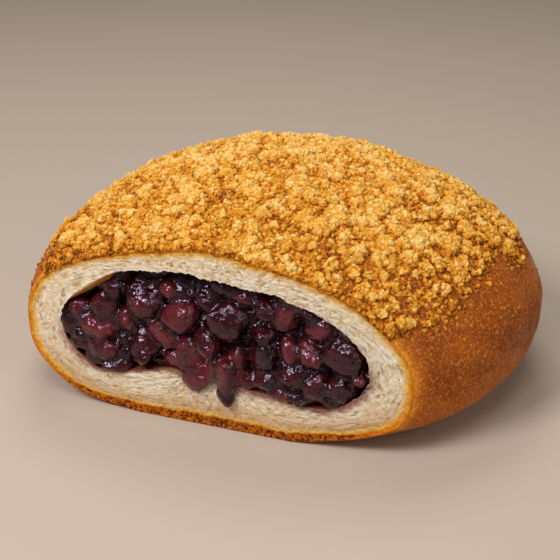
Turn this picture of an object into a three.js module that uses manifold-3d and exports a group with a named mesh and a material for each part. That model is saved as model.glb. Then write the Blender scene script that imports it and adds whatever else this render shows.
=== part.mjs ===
// A round streusel bun, cut open at the front so that its bean filling shows.
//
// Millimetres, +Z up. The cut faces -Y, and the origin is on the surface the
// bun rests on, under the middle of its bounding box.
//
//   bun      one dome of bread with a hollow for the filling, open at the cut;
//            the streusel crumbs are fused to its crown
//   filling  one mass of cooked beans in their paste: a smooth core that fills
//            the hollow, with the beans and drips that show at the cut fused on

import * as THREE from "three";
import { mergeVertices } from "three/addons/utils/BufferGeometryUtils.js";
import Module from "manifold-3d";

const wasm = await Module();
wasm.setup();

// --- Driving sizes ---------------------------------------------------------

// The bread's outside, as a dome with a rounded foot. Its plan is a circle
// that is a little out of round.
const DOME = {
  radius: 58.1, // mean plan radius at the waist
  floor: 0, // height of the underside
  waist: 21.1, // height of the widest ring
  top: 50.6, // height of the bare crown
  foot: 0.695, // radius of the underside, as a share of the waist's
  crownPower: 1.8, // 2 is an ellipse
  footPower: 3.4,
};
const SKEW = 0.038; // two-lobed unevenness of the plan
const TRIPLE = 0.043; // three-lobed unevenness of the plan

const CUT_Y = -36.1; // plane of the knife cut, from the dome's axis
const SIDE_WALL = 6.4; // bread between crust and filling, measured in plan
const ROOF = 7.8;
const FLOOR = 10.2;
const GAP = 0.35; // air left between bread and filling

// The hollow under the roof.
const HOLLOW = {
  radius: DOME.radius - SIDE_WALL,
  floor: FLOOR,
  waist: 21.5,
  top: DOME.top - ROOF,
  foot: 0.84,
  crownPower: 1.95,
  footPower: 2.6,
};

// Streusel: crumbs set in an even spiral, with a large lump at every fourth.
const CRUMB_COUNT = 284;
const LUMP_EVERY = 4;
const LUMP_RADIUS = [3.5, 4.4];
const GRAIN_RADIUS = [2.6, 3.5];
const CRUMB_SUNK = 0.28; // share of its radius that a crumb's middle lies under the crust
const CORNER_SHIFT = [0.8, 1.15]; // how far a crumb's corners stray from its radius
const CRUMB_TO_CUT = 0.8; // least distance of a crumb's place behind the cut
const STREUSEL_EDGE = 30.5; // height where the streusel stops
const EDGE_RAGGED = 3.4; // how far that edge wanders up and down

// Cooked beans that show at the cut, from left to right: place along the cut,
// height of the middle, width, height, and how far the nose stands out of the
// cut.
const BEAN_DEPTH = 8.4;
const BEAN_TILT = 0.35; // most a bean is turned about each axis, in radians
const BEANS = [
  { x: -36.4, z: 22.6, width: 6.4, height: 8.4, nose: 0.2 },
  { x: -30.6, z: 26.4, width: 8.8, height: 8.0, nose: 0.8 },
  { x: -31.4, z: 20.2, width: 11.0, height: 7.6, nose: 1.5 },
  { x: -30.2, z: 14.6, width: 10.4, height: 8.0, nose: 1.0 },
  { x: -22.8, z: 32.0, width: 8.0, height: 6.2, nose: -2.6 },
  { x: -20.0, z: 27.2, width: 7.6, height: 8.6, nose: 0.4 },
  { x: -21.0, z: 17.2, width: 9.2, height: 11.0, nose: 1.0 },
  { x: -13.2, z: 31.4, width: 7.4, height: 6.2, nose: -1.8 },
  { x: -12.3, z: 25.2, width: 9.0, height: 8.0, nose: 1.4 },
  { x: -11.8, z: 17.8, width: 9.4, height: 8.4, nose: 1.2 },
  { x: -3.0, z: 33.2, width: 7.4, height: 6.4, nose: -2.0 },
  { x: -1.0, z: 26.4, width: 9.2, height: 9.0, nose: 1.6 },
  { x: -3.4, z: 18.8, width: 9.0, height: 8.8, nose: 1.8 },
  { x: 4.6, z: 14.8, width: 9.2, height: 8.6, nose: 1.4 },
  { x: 5.4, z: 31.4, width: 8.2, height: 7.6, nose: -0.4 },
  { x: 12.6, z: 29.6, width: 8.2, height: 8.2, nose: -0.6 },
  { x: 7.4, z: 23.0, width: 9.0, height: 9.0, nose: 1.2 },
  { x: 13.4, z: 15.0, width: 9.4, height: 9.0, nose: 1.2 },
  { x: 15.8, z: 22.4, width: 9.4, height: 8.6, nose: 1.0 },
  { x: 19.8, z: 28.0, width: 8.4, height: 7.4, nose: -1.0 },
  { x: 25.2, z: 22.4, width: 11.2, height: 8.8, nose: 1.2 },
  { x: 22.4, z: 14.8, width: 9.8, height: 9.0, nose: 1.2 },
];

// Paste that has run out over the lower lip of the cut, as hanging drops.
const DRIPS = [
  { x: -8.1, z: 13.4, width: 8.4, height: 11.4 },
  { x: -0.2, z: 11.4, width: 5.6, height: 11.2 },
];
const DRIP_DEPTH = 8.0;
const DRIP_BEHIND = 1.6; // how far a drip's middle lies behind the cut
const PASTE_RECESS = 3.4; // how far the paste lies behind the cut

// Facets of the two domes: sides round the plan, rings below and above the waist.
const DOME_FACETS = [48, 6, 10];
const HOLLOW_FACETS = [44, 5, 8];
const SAME_POINT = 1e-4; // corners closer than this are one corner

// --- Shared helpers --------------------------------------------------------

// A repeatable draw from 0 to 1.
function seededRandom(seed) {
  let state = seed;
  return () => {
    state = (state + 0x6d2b79f5) | 0;
    let t = Math.imul(state ^ (state >>> 15), 1 | state);
    t = (t + Math.imul(t ^ (t >>> 7), 61 | t)) ^ t;
    return ((t ^ (t >>> 14)) >>> 0) / 4294967296;
  };
}

const between = (random, low, high) => low + (high - low) * random();

// A geometry with its doubled corners merged, so that each is moved as one.
function withoutSeams(geometry) {
  const bare = geometry.clone();
  bare.deleteAttribute("normal");
  bare.deleteAttribute("uv");
  return mergeVertices(bare, SAME_POINT);
}

// A random turn about all three axes.
function randomTurn(random, most) {
  const angle = () => between(random, -most, most);
  const turn = new THREE.Euler(angle(), angle(), angle());
  return new THREE.Matrix4().makeRotationFromEuler(turn);
}

// A closed BufferGeometry as a solid that can be joined and cut.
function toSolid(geometry) {
  const merged = withoutSeams(geometry.index ? geometry.toNonIndexed() : geometry);
  return new wasm.Manifold(
    new wasm.Mesh({
      numProp: 3,
      vertProperties: new Float32Array(merged.attributes.position.array),
      triVerts: new Uint32Array(merged.index.array),
    }),
  );
}

// A solid back as a BufferGeometry with flat faces.
function toGeometry(solid) {
  const mesh = solid.getMesh();
  const positions = new Float32Array(mesh.numVert * 3);
  for (let i = 0; i < mesh.numVert; i++) {
    const start = i * mesh.numProp;
    positions.set(mesh.vertProperties.subarray(start, start + 3), i * 3);
  }
  const geometry = new THREE.BufferGeometry();
  geometry.setAttribute("position", new THREE.BufferAttribute(positions, 3));
  geometry.setIndex(new THREE.BufferAttribute(mesh.triVerts.slice(), 1));
  geometry.computeVertexNormals();
  return geometry;
}

// The outer surface alone. This fills any bubble that joining has sealed, and
// drops any loose scrap.
function wholeBody(solid) {
  return solid
    .decompose()
    .reduce((largest, piece) => (piece.volume() > largest.volume() ? piece : largest));
}

// The plan radius at an angle, as a share of the mean radius.
function planShare(angle) {
  return 1 + SKEW * Math.sin(2 * angle) + TRIPLE * Math.cos(3 * angle);
}

// A dome's radius at a height, as a share of its radius at the waist.
function profileShare(dome, z) {
  if (z < dome.waist) {
    const down = (dome.waist - z) / (dome.waist - dome.floor);
    return 1 - (1 - dome.foot) * Math.min(1, down) ** dome.footPower;
  }
  const up = Math.min(1, (z - dome.waist) / (dome.top - dome.waist));
  return (1 - up ** dome.crownPower) ** (1 / dome.crownPower);
}

// The same form as a dome, smaller all round by an air gap.
function shrunk(dome, gap) {
  return {
    ...dome,
    radius: dome.radius - gap,
    floor: dome.floor + gap,
    top: dome.top - gap,
  };
}

// A point of a dome's surface.
function domePoint(dome, angle, z) {
  const r = dome.radius * planShare(angle) * profileShare(dome, z);
  return new THREE.Vector3(r * Math.cos(angle), r * Math.sin(angle), z);
}

// The outward normal there, from two short steps along the surface.
function domeNormal(dome, angle, z) {
  const step = 0.02;
  const low = Math.min(z, dome.top - 4 * step);
  const here = domePoint(dome, angle, low);
  const around = domePoint(dome, angle + step, low).sub(here);
  const above = domePoint(dome, angle, low + step).sub(here);
  return around.cross(above).normalize();
}

// A closed dome, as rings of points from the middle of its underside to its
// crown, joined by triangles.
function domeGeometry(dome, [sides, footRings, crownRings]) {
  const heights = [];
  for (let i = 0; i <= footRings; i++) {
    const quarter = ((i / footRings) * Math.PI) / 2;
    heights.push(dome.floor + (dome.waist - dome.floor) * (1 - Math.cos(quarter)));
  }
  for (let i = 1; i < crownRings; i++) {
    const quarter = ((i / crownRings) * Math.PI) / 2;
    heights.push(dome.waist + (dome.top - dome.waist) * Math.sin(quarter));
  }
  const positions = [];
  for (const z of heights) {
    for (let j = 0; j < sides; j++) {
      positions.push(...domePoint(dome, (j / sides) * 2 * Math.PI, z));
    }
  }
  const bottom = positions.length / 3;
  positions.push(0, 0, dome.floor, 0, 0, dome.top);
  const faces = [];
  for (let j = 0; j < sides; j++) {
    const next = (j + 1) % sides;
    faces.push(bottom, next, j);
    const last = (heights.length - 1) * sides;
    faces.push(bottom + 1, last + j, last + next);
    for (let i = 0; i < heights.length - 1; i++) {
      const a = i * sides + j;
      const b = i * sides + next;
      faces.push(a, b, b + sides, a, b + sides, a + sides);
    }
  }
  const geometry = new THREE.BufferGeometry();
  geometry.setAttribute("position", new THREE.Float32BufferAttribute(positions, 3));
  geometry.setIndex(faces);
  return geometry;
}

// A box that holds everything in front of a plane y = limit.
function inFrontOf(limit) {
  const reach = 3 * DOME.radius;
  const box = new THREE.BoxGeometry(reach, reach, reach);
  return toSolid(box.translate(0, limit - reach / 2, 0));
}

// --- The bread -------------------------------------------------------------

// An uneven crumb of streusel: a lump is a rough ball and a grain a rough cube,
// with each corner moved.
function crumbGeometry(radius, isLump, random) {
  const side = (2 * radius) / Math.sqrt(3);
  const crumb = withoutSeams(
    isLump
      ? new THREE.IcosahedronGeometry(radius, 0)
      : new THREE.BoxGeometry(side, side, side),
  );
  const corners = crumb.attributes.position;
  const corner = new THREE.Vector3();
  for (let i = 0; i < corners.count; i++) {
    corner.fromBufferAttribute(corners, i);
    corner.multiplyScalar(between(random, ...CORNER_SHIFT));
    corners.setXYZ(i, corner.x, corner.y, corner.z);
  }
  return crumb;
}

// Where the streusel ends on each side of the dome.
function streuselEdge(angle) {
  const wander = 0.6 * Math.sin(3 * angle + 0.7) + 0.4 * Math.sin(7 * angle + 2.1);
  return STREUSEL_EDGE + EDGE_RAGGED * wander;
}

// Thin bands of the crown from its top to a lowest height: the height of each,
// and the area of the crown down to it, up to a constant factor.
function crownBands(lowest, count) {
  const heightAt = (i) => DOME.top - (DOME.top - lowest) * (i / count) ** 2;
  const bands = [];
  let area = 0;
  for (let i = 1; i <= count; i++) {
    const upper = domePoint(DOME, 0, heightAt(i - 1));
    const lower = domePoint(DOME, 0, heightAt(i));
    area += (upper.x + lower.x) * upper.distanceTo(lower);
    bands.push({ z: heightAt(i - 0.5), area });
  }
  return bands;
}

// The crumbs' places: a spiral that gives each an equal share of the crown's
// area. Crumbs that would lie in front of the cut, or below the ragged edge,
// are left out.
function streuselPlaces() {
  const goldenAngle = Math.PI * (3 - Math.sqrt(5));
  const bands = crownBands(STREUSEL_EDGE - EDGE_RAGGED, 400);
  const wholeArea = bands.at(-1).area;
  const places = [];
  for (let i = 0; i < CRUMB_COUNT; i++) {
    const wanted = ((i + 0.5) / CRUMB_COUNT) * wholeArea;
    const { z } = bands.find((band) => band.area >= wanted);
    const angle = (i * goldenAngle) % (2 * Math.PI);
    const behindCut = domePoint(DOME, angle, z).y - CUT_Y;
    if (behindCut > CRUMB_TO_CUT && z > streuselEdge(angle)) {
      places.push({ angle, z, isLump: i % LUMP_EVERY === 0 });
    }
  }
  return places;
}

// Every crumb as a solid, sunk a little into the crust.
function streuselSolids() {
  const random = seededRandom(11);
  return streuselPlaces().map(({ angle, z, isLump }) => {
    const radius = between(random, ...(isLump ? LUMP_RADIUS : GRAIN_RADIUS));
    const place = domePoint(DOME, angle, z);
    place.addScaledVector(domeNormal(DOME, angle, z), -CRUMB_SUNK * radius);
    const crumb = crumbGeometry(radius, isLump, random)
      .applyMatrix4(randomTurn(random, Math.PI))
      .translate(place.x, place.y, place.z);
    return toSolid(crumb);
  });
}

function breadSolid(hollow) {
  const dome = toSolid(domeGeometry(DOME, DOME_FACETS));
  const topped = streuselSolids().reduce((bread, crumb) => bread.add(crumb), dome);
  return wholeBody(topped.subtract(inFrontOf(CUT_Y)).subtract(hollow));
}

// --- The filling -----------------------------------------------------------

// A bean or a drop: a ball with few sides, stretched to its width, depth and
// height.
function beanGeometry({ width, height }, depth) {
  const ball = withoutSeams(new THREE.IcosahedronGeometry(0.5, 1));
  return ball.scale(width, depth, height);
}

// The beans that show, each tilted a little, behind its place in the cut.
function beanSolids() {
  const random = seededRandom(5);
  return BEANS.map((bean) => {
    const geometry = beanGeometry(bean, BEAN_DEPTH)
      .applyMatrix4(randomTurn(random, BEAN_TILT))
      .translate(bean.x, CUT_Y - bean.nose + BEAN_DEPTH / 2, bean.z);
    return toSolid(geometry);
  });
}

function dripSolids() {
  return DRIPS.map((drip) => {
    const geometry = beanGeometry(drip, DRIP_DEPTH);
    return toSolid(geometry.translate(drip.x, CUT_Y + DRIP_BEHIND, drip.z));
  });
}

// Beans stay inside the hollow's form, carried on past the cut. Drips may also
// hang in front of the bread.
function fillingSolid(core) {
  const paste = core.subtract(inFrontOf(CUT_Y + PASTE_RECESS));
  const beans = beanSolids().reduce((mass, bean) => mass.add(bean), paste);
  const allowedForDrips = core.add(inFrontOf(CUT_Y - GAP));
  const mass = dripSolids().reduce(
    (joined, drip) => joined.add(drip.intersect(allowedForDrips)),
    beans.intersect(core),
  );
  return wholeBody(mass);
}

// --- Materials and the model -----------------------------------------------

function crustMaterial() {
  return new THREE.MeshStandardMaterial({ color: 0xd99a45, roughness: 0.7, metalness: 0 });
}

function beanMaterial() {
  return new THREE.MeshStandardMaterial({ color: 0x3c1719, roughness: 0.25, metalness: 0 });
}

function namedMesh(name, solid, material) {
  const mesh = new THREE.Mesh(toGeometry(solid), material);
  mesh.name = name;
  return mesh;
}

function buildBun() {
  const hollow = toSolid(domeGeometry(HOLLOW, HOLLOW_FACETS));
  const core = toSolid(domeGeometry(shrunk(HOLLOW, GAP), HOLLOW_FACETS));
  const group = new THREE.Group();
  group.add(namedMesh("bun", breadSolid(hollow), crustMaterial()));
  group.add(namedMesh("filling", fillingSolid(core), beanMaterial()));
  const middle = new THREE.Box3().setFromObject(group).getCenter(new THREE.Vector3());
  for (const mesh of group.children) mesh.position.set(-middle.x, -middle.y, 0);
  return group;
}

export default buildBun();
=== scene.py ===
"""A streusel bun, cut open at the front so that its bean filling shows.

Lengths are in millimetres in the bun's own frame until a mesh is made: the dome's
axis is at x = 0, y = 0, its underside at z = 0, and the knife cut faces -Y.
"""

import logging
import math
from collections.abc import Callable
from dataclasses import dataclass, field
from enum import Enum

import bmesh
import bpy
import numpy as np
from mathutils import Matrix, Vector
from numpy.typing import NDArray


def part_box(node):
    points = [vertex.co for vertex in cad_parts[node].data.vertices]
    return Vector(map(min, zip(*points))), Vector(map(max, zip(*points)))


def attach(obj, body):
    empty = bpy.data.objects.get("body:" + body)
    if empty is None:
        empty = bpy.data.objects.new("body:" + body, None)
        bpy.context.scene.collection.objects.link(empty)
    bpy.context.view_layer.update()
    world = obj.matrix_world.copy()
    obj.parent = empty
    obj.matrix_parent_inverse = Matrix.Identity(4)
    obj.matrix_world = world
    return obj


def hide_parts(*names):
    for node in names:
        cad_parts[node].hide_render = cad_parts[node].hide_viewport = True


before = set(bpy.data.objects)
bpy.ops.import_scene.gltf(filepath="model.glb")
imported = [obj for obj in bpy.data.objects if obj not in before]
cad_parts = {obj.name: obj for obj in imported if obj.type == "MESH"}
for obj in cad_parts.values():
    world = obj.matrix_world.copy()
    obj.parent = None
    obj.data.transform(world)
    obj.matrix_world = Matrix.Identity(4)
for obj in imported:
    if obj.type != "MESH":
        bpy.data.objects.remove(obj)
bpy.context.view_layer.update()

Array = NDArray[np.float64]
Faces = NDArray[np.int64]
log = logging.getLogger("streusel_bun")

MM = 0.001
TINY = 1e-9
FULL_TURN = 2.0 * math.pi


class Slot(Enum):
    """The record's material slots."""

    BREAD = "bread"
    BEANS = "beans"


class Node(Enum):
    """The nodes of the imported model."""

    BUN = "bun"
    FILLING = "filling"


# --- Noise -----------------------------------------------------------------

AXIS_FACTORS = np.array([73856093, 19349663, 83492791], np.uint32)
SEED_FACTOR = 7919
SEED_START = 17
STIR_FACTORS = (0x7FEB352D, 0x846CA68B)
STIR_SHIFT = np.uint32(16)
LAST_SHIFT = np.uint32(15)
LARGEST_WORD = 4294967295.0


def hashed(cells: NDArray[np.int64], seed: int) -> Array:
    """A repeatable random value from 0 to 1 for each whole-numbered cell.

    The three indices are multiplied by large odd numbers, joined, and stirred.

    Args:
        cells: indices, last axis of length 3.
        seed: picks one of many unrelated sets of values.

    Returns:
        One value per cell.
    """
    with np.errstate(over="ignore"):
        key = cells.astype(np.uint32) * AXIS_FACTORS
        mixed = key[..., 0] ^ key[..., 1] ^ key[..., 2]
        mixed = mixed ^ np.uint32(seed * SEED_FACTOR + SEED_START)
        for factor in STIR_FACTORS:
            mixed = (mixed ^ (mixed >> STIR_SHIFT)) * np.uint32(factor)
        mixed = mixed ^ (mixed >> LAST_SHIFT)
    return mixed.astype(np.float64) / LARGEST_WORD


def smooth_step(share: Array) -> Array:
    """A share from 0 to 1, eased at both ends: its square times (3 less twice itself)."""
    return share * share * (3.0 - 2.0 * share)


def ease(value: Array, low: float, high: float) -> Array:
    """A smooth rise from 0 at low to 1 at high."""
    return smooth_step(np.clip((value - low) / (high - low), 0.0, 1.0))


def smooth_noise(points: Array, seed: int) -> Array:
    """Noise from -1 to 1 that varies over about one unit.

    The values at the eight corners of a point's unit cell are blended by a smooth
    step along each axis.

    Args:
        points: places, last axis of length 3.
        seed: picks the pattern.

    Returns:
        One value per place.
    """
    cell = np.floor(points)
    part = smooth_step(points - cell)
    cell = cell.astype(np.int64)
    total = np.zeros(points.shape[:-1])
    for corner in np.ndindex(2, 2, 2):
        offset = np.array(corner)
        weight = np.prod(np.where(offset == 1, part, 1.0 - part), axis=-1)
        total += weight * hashed(cell + offset, seed)
    return 2.0 * total - 1.0


def vector_noise(points: Array, seed: int) -> Array:
    """Three smooth noises for each place, as a vector."""
    return np.stack([smooth_noise(points, seed + axis) for axis in range(3)], axis=-1)


def cell_noise(points: Array, seed: int) -> tuple[Array, Array, Array]:
    """Distances to the two nearest of a set of scattered seeds, one to a unit cell.

    Args:
        points: places, last axis of length 3.
        seed: picks the pattern.

    Returns:
        The least distance, how much greater the next one is, and a random value from
        0 to 1 that belongs to the nearest seed.
    """
    cell = np.floor(points).astype(np.int64)
    nearest = np.full(points.shape[:-1], math.inf)
    second = nearest
    owner = np.zeros(points.shape[:-1])
    for step in np.ndindex(3, 3, 3):
        there = cell + np.array(step) - 1
        jitter = np.stack([hashed(there, seed + axis) for axis in range(3)], axis=-1)
        distance = np.linalg.norm(there + jitter - points, axis=-1)
        closer = distance < nearest
        second = np.where(closer, nearest, np.minimum(second, distance))
        nearest = np.where(closer, distance, nearest)
        owner = np.where(closer, hashed(there, seed + 3), owner)
    return nearest, second - nearest, owner


# --- Geometry --------------------------------------------------------------

HALVINGS = 26


def unit(vectors: Array) -> Array:
    """Vectors brought to a length of 1."""
    return vectors / np.maximum(np.linalg.norm(vectors, axis=-1, keepdims=True), TINY)


def full_circle(count: int) -> Array:
    """Directions all round, evenly spaced, as one row."""
    return np.linspace(0.0, FULL_TURN, count, endpoint=False)[None, :]


def halved(low: Array, high: Array, holds: Callable[[Array], Array]) -> tuple[Array, Array]:
    """Closes intervals on the places where a test changes, by halving them.

    Args:
        low: ends where the test holds.
        high: ends where it doesn't.
        holds: the test.

    Returns:
        Both ends, some millionths of a millimetre apart.
    """
    for _ in range(HALVINGS):
        middle = (low + high) / 2.0
        held = holds(middle)
        low = np.where(held, middle, low)
        high = np.where(held, high, middle)
    return low, high


def grid_normals(grid: Array) -> Array:
    """Unit normals of a grid whose last column meets its first.

    Each is the cross product of the grid's two tangents.

    Args:
        grid: points, rows by columns by 3.

    Returns:
        One normal for each point, along (columns) x (rows).
    """
    along = np.roll(grid, -1, axis=1) - np.roll(grid, 1, axis=1)
    return unit(np.cross(along, np.gradient(grid, axis=0)))


# --- The bun's form --------------------------------------------------------

# How strong the plan's two lobes and its three are, the plane of the knife cut, the
# loop axis inside the hollow, and how far out and how closely a form is searched.
TWO_LOBES = 0.038
THREE_LOBES = 0.043
CUT_Y = -36.1
LOOP_X = -3.5
LOOP_Z = 21.1
FARTHEST = 90.0
BACK_STEPS = 9001


def loop_points(y: Array, angle: Array | float, radius: Array | float) -> Array:
    """Points in slices y = constant, at a distance from the loop axis.

    The loop axis runs along Y through LOOP_X and LOOP_Z, the middle of the hollow.

    Args:
        y: places of the slices.
        angle: directions in a slice, from +X towards +Z.
        radius: distances from the axis.

    Returns:
        Points, of the arguments' common shape by 3.
    """
    x = LOOP_X + radius * np.cos(angle)
    z = LOOP_Z + radius * np.sin(angle)
    return np.stack(np.broadcast_arrays(x, y, z), axis=-1)


def about_loop(x: Array, z: Array) -> tuple[Array, Array]:
    """Directions and distances of places from the loop axis."""
    return np.arctan2(z - LOOP_Z, x - LOOP_X), np.hypot(x - LOOP_X, z - LOOP_Z)


def plan_share(angle: Array) -> Array:
    """The plan radius at an angle, as a share of the mean: two lobes and three."""
    return 1.0 + TWO_LOBES * np.sin(2.0 * angle) + THREE_LOBES * np.cos(3.0 * angle)


@dataclass(frozen=True)
class Dome:
    """A round form: a flat underside, a rounded foot, a waist and a crown."""

    radius: float
    floor: float
    waist: float
    top: float
    foot: float
    crown_power: float
    foot_power: float

    def share(self, z: Array) -> Array:
        """The radius at a height, as a share of the waist's.

        Below the waist it falls by a power of the depth to the foot's share, and
        above it follows a superellipse to nothing at the top.

        Args:
            z: heights.

        Returns:
            Shares from 0 to 1.
        """
        down = np.clip((self.waist - z) / (self.waist - self.floor), 0.0, 1.0)
        up = np.clip((z - self.waist) / (self.top - self.waist), 0.0, 1.0)
        low = 1.0 - (1.0 - self.foot) * down**self.foot_power
        high = (1.0 - up**self.crown_power) ** (1.0 / self.crown_power)
        return np.where(z < self.waist, low, high)

    def point(self, angle: Array, z: Array) -> Array:
        """The surface's points at plan angles and heights."""
        radius = self.radius * plan_share(angle) * self.share(z)
        return np.stack([radius * np.cos(angle), radius * np.sin(angle), z], axis=-1)

    def spare(self, place: Array) -> Array:
        """How far places lie inside the form.

        It is the least of the room to the side, to the floor and to the top.

        Args:
            place: points, last axis of length 3.

        Returns:
            Distances, negative outside.
        """
        x, y, z = place[..., 0], place[..., 1], place[..., 2]
        side = self.radius * plan_share(np.arctan2(y, x)) * self.share(z) - np.hypot(x, y)
        return np.minimum(np.minimum(side, z - self.floor), self.top - z)

    def reach(self, y: Array, angle: Array) -> Array:
        """The distance to the surface in a slice y = constant, from the loop axis.

        Args:
            y: places of the slices.
            angle: directions in a slice, from +X towards +Z.

        Returns:
            Distances, of the two arguments' common shape.
        """
        y, angle = np.broadcast_arrays(y, angle)

        def inside(distance: Array) -> Array:
            """Whether the places at those distances lie inside the form."""
            return self.spare(loop_points(y, angle, distance)) > 0.0

        nearest, _ = halved(np.zeros(y.shape), np.full(y.shape, FARTHEST), inside)
        return nearest

    def back(self) -> float:
        """The form's rearmost place on the loop axis, out of many close together.

        Returns:
            Its y.
        """
        y = np.linspace(0.0, FARTHEST, BACK_STEPS)
        inside = self.spare(loop_points(y, 0.0, 0.0)) > 0.0
        return float(y[inside].max())


@dataclass
class Shell:
    """A dome that, towards the cut, leads up to an outline of its own there.

    The outline's corners are (x, z) places in the cut's plane. What it differs from
    the dome by, as a distance from the loop axis, fades away behind the cut.
    """

    dome: Dome
    corners: tuple[tuple[float, float], ...]
    fade: float
    samples: int = 720
    smoothing: float = 0.05
    least_reach: float = 1.0

    def __post_init__(self) -> None:
        """Works out the difference all round, and smooths it by a bell curve."""
        turn, reach = about_loop(*np.array(self.corners).T)
        order = np.argsort(turn)
        self.turns = np.linspace(-math.pi, math.pi, self.samples, endpoint=False)
        measured = np.interp(self.turns, turn[order], reach[order], period=FULL_TURN)
        extra = measured - self.dome.reach(np.full(self.samples, CUT_Y), self.turns)
        apart = np.abs(self.turns[:, None] - self.turns[None, :])
        apart = np.minimum(apart, FULL_TURN - apart)
        weight = np.exp(-0.5 * (apart / self.smoothing) ** 2)
        self.extra = weight @ extra / weight.sum(axis=1)

    def extra_at(self, y: Array, angle: Array) -> Array:
        """The difference from the dome, at a direction about the loop axis."""
        extra = np.interp(angle, self.turns, self.extra, period=FULL_TURN)
        return extra * np.exp(-np.clip(y - CUT_Y, 0.0, None) / self.fade)

    def reach(self, y: Array, angle: Array) -> Array:
        """The distance to the surface in a slice y = constant, from the loop axis."""
        return self.dome.reach(y, angle) + self.extra_at(y, angle)

    def bend(self, points: Array) -> Array:
        """Moves points of the dome away from the loop axis by the difference.

        Args:
            points: the dome's points.

        Returns:
            The shell's points.
        """
        y = points[..., 1]
        turn, distance = about_loop(points[..., 0], points[..., 2])
        share = self.extra_at(y, turn) / np.maximum(distance, self.least_reach)
        return points + (points - loop_points(y, 0.0, 0.0)) * share[..., None]


# The domes of the crust and of the hollow, and the outlines that both have at the cut,
# each corner an (x, z) place there.
CRUST = Dome(58.1, 0.0, 21.1, 50.6, 0.695, 1.8, 3.4)
HOLLOW = Dome(51.7, 10.2, 21.5, 42.8, 0.84, 1.95, 2.6)
LOAF = Shell(
    CRUST,
    (
        (-48.7, 22.0), (-47.1, 27.4), (-44.6, 31.1), (-40.9, 34.0), (-35.8, 36.2), (-25.9, 39.4),
        (-16.3, 41.7), (-10.4, 43.0), (-1.0, 43.3), (5.1, 42.2), (11.2, 41.1), (17.1, 40.0),
        (23.1, 37.8), (29.0, 35.0), (32.4, 32.3), (36.3, 28.2), (39.0, 25.2), (40.4, 21.0),
        (40.3, 15.6), (39.5, 11.5), (38.1, 8.7), (33.5, 6.1), (28.1, 3.8), (22.3, 2.2),
        (16.7, 0.6), (4.8, 0.0), (-12.1, 0.0), (-25.5, 0.8), (-32.2, 1.2), (-38.9, 3.1),
        (-43.8, 6.9), (-47.8, 12.2), (-48.8, 15.6),
    ),
    fade=14.0,
)
MOUTH = Shell(
    HOLLOW,
    (
        (-40.2, 21.7), (-38.4, 26.4), (-34.8, 29.4), (-31.3, 32.3), (-26.2, 35.4), (-23.0, 36.1),
        (-16.6, 36.6), (-5.0, 36.6), (1.3, 36.4), (5.0, 35.7), (11.2, 35.5), (14.2, 34.0),
        (18.7, 33.5), (23.2, 30.7), (27.9, 27.6), (30.4, 23.4), (31.4, 20.2), (30.9, 17.7),
        (28.8, 14.9), (25.2, 11.3), (22.2, 10.1), (12.7, 10.0), (9.9, 11.3), (2.4, 12.0),
        (-5.0, 12.6), (-13.1, 13.7), (-18.0, 12.4), (-23.0, 11.2), (-26.5, 9.6), (-30.2, 8.9),
        (-34.7, 11.4), (-37.3, 14.2), (-39.3, 16.7), (-40.4, 19.9),
    ),
    fade=8.0,
)


@dataclass(frozen=True)
class Hollow:
    """The room that the filling lies in.

    At the upper left of its mouth the wall closes in just behind the cut, so that a
    ledge of it shows.
    """

    ledge: float = 2.3
    ledge_turn: float = 2.8
    ledge_spread: float = 0.2
    ledge_start: float = 0.1
    ledge_end: float = 1.0

    def reach(self, y: Array, angle: Array) -> Array:
        """The distance to the wall in a slice y = constant, from the loop axis.

        Args:
            y: places of the slices.
            angle: directions in a slice, from +X towards +Z.

        Returns:
            Distances, of the two arguments' common shape.
        """
        apart = np.exp(-(((angle - self.ledge_turn) / self.ledge_spread) ** 4))
        behind = ease(y - CUT_Y, self.ledge_start, self.ledge_end)
        return MOUTH.reach(y, angle) - self.ledge * apart * behind


HOLLOW_WALL = Hollow()


# --- Meshes ----------------------------------------------------------------


@dataclass
class Placement:
    """Where the dome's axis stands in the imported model, in millimetres."""

    x: float = 0.0
    y: float = 0.0

    @staticmethod
    def from_frame() -> "Placement":
        """Finds the axis from the dome's widest place on +X and from its cut plane.

        Returns:
            The placement.
        """
        low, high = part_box(Node.BUN.value)
        widest = CRUST.radius * float(plan_share(np.array(0.0)))
        return Placement(high.x / MM - widest, low.y / MM - CUT_Y)

    def metres(self, points: Array) -> Array:
        """Points of the bun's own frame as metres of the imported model."""
        return (points + np.array([self.x, self.y, 0.0])) * MM


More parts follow.
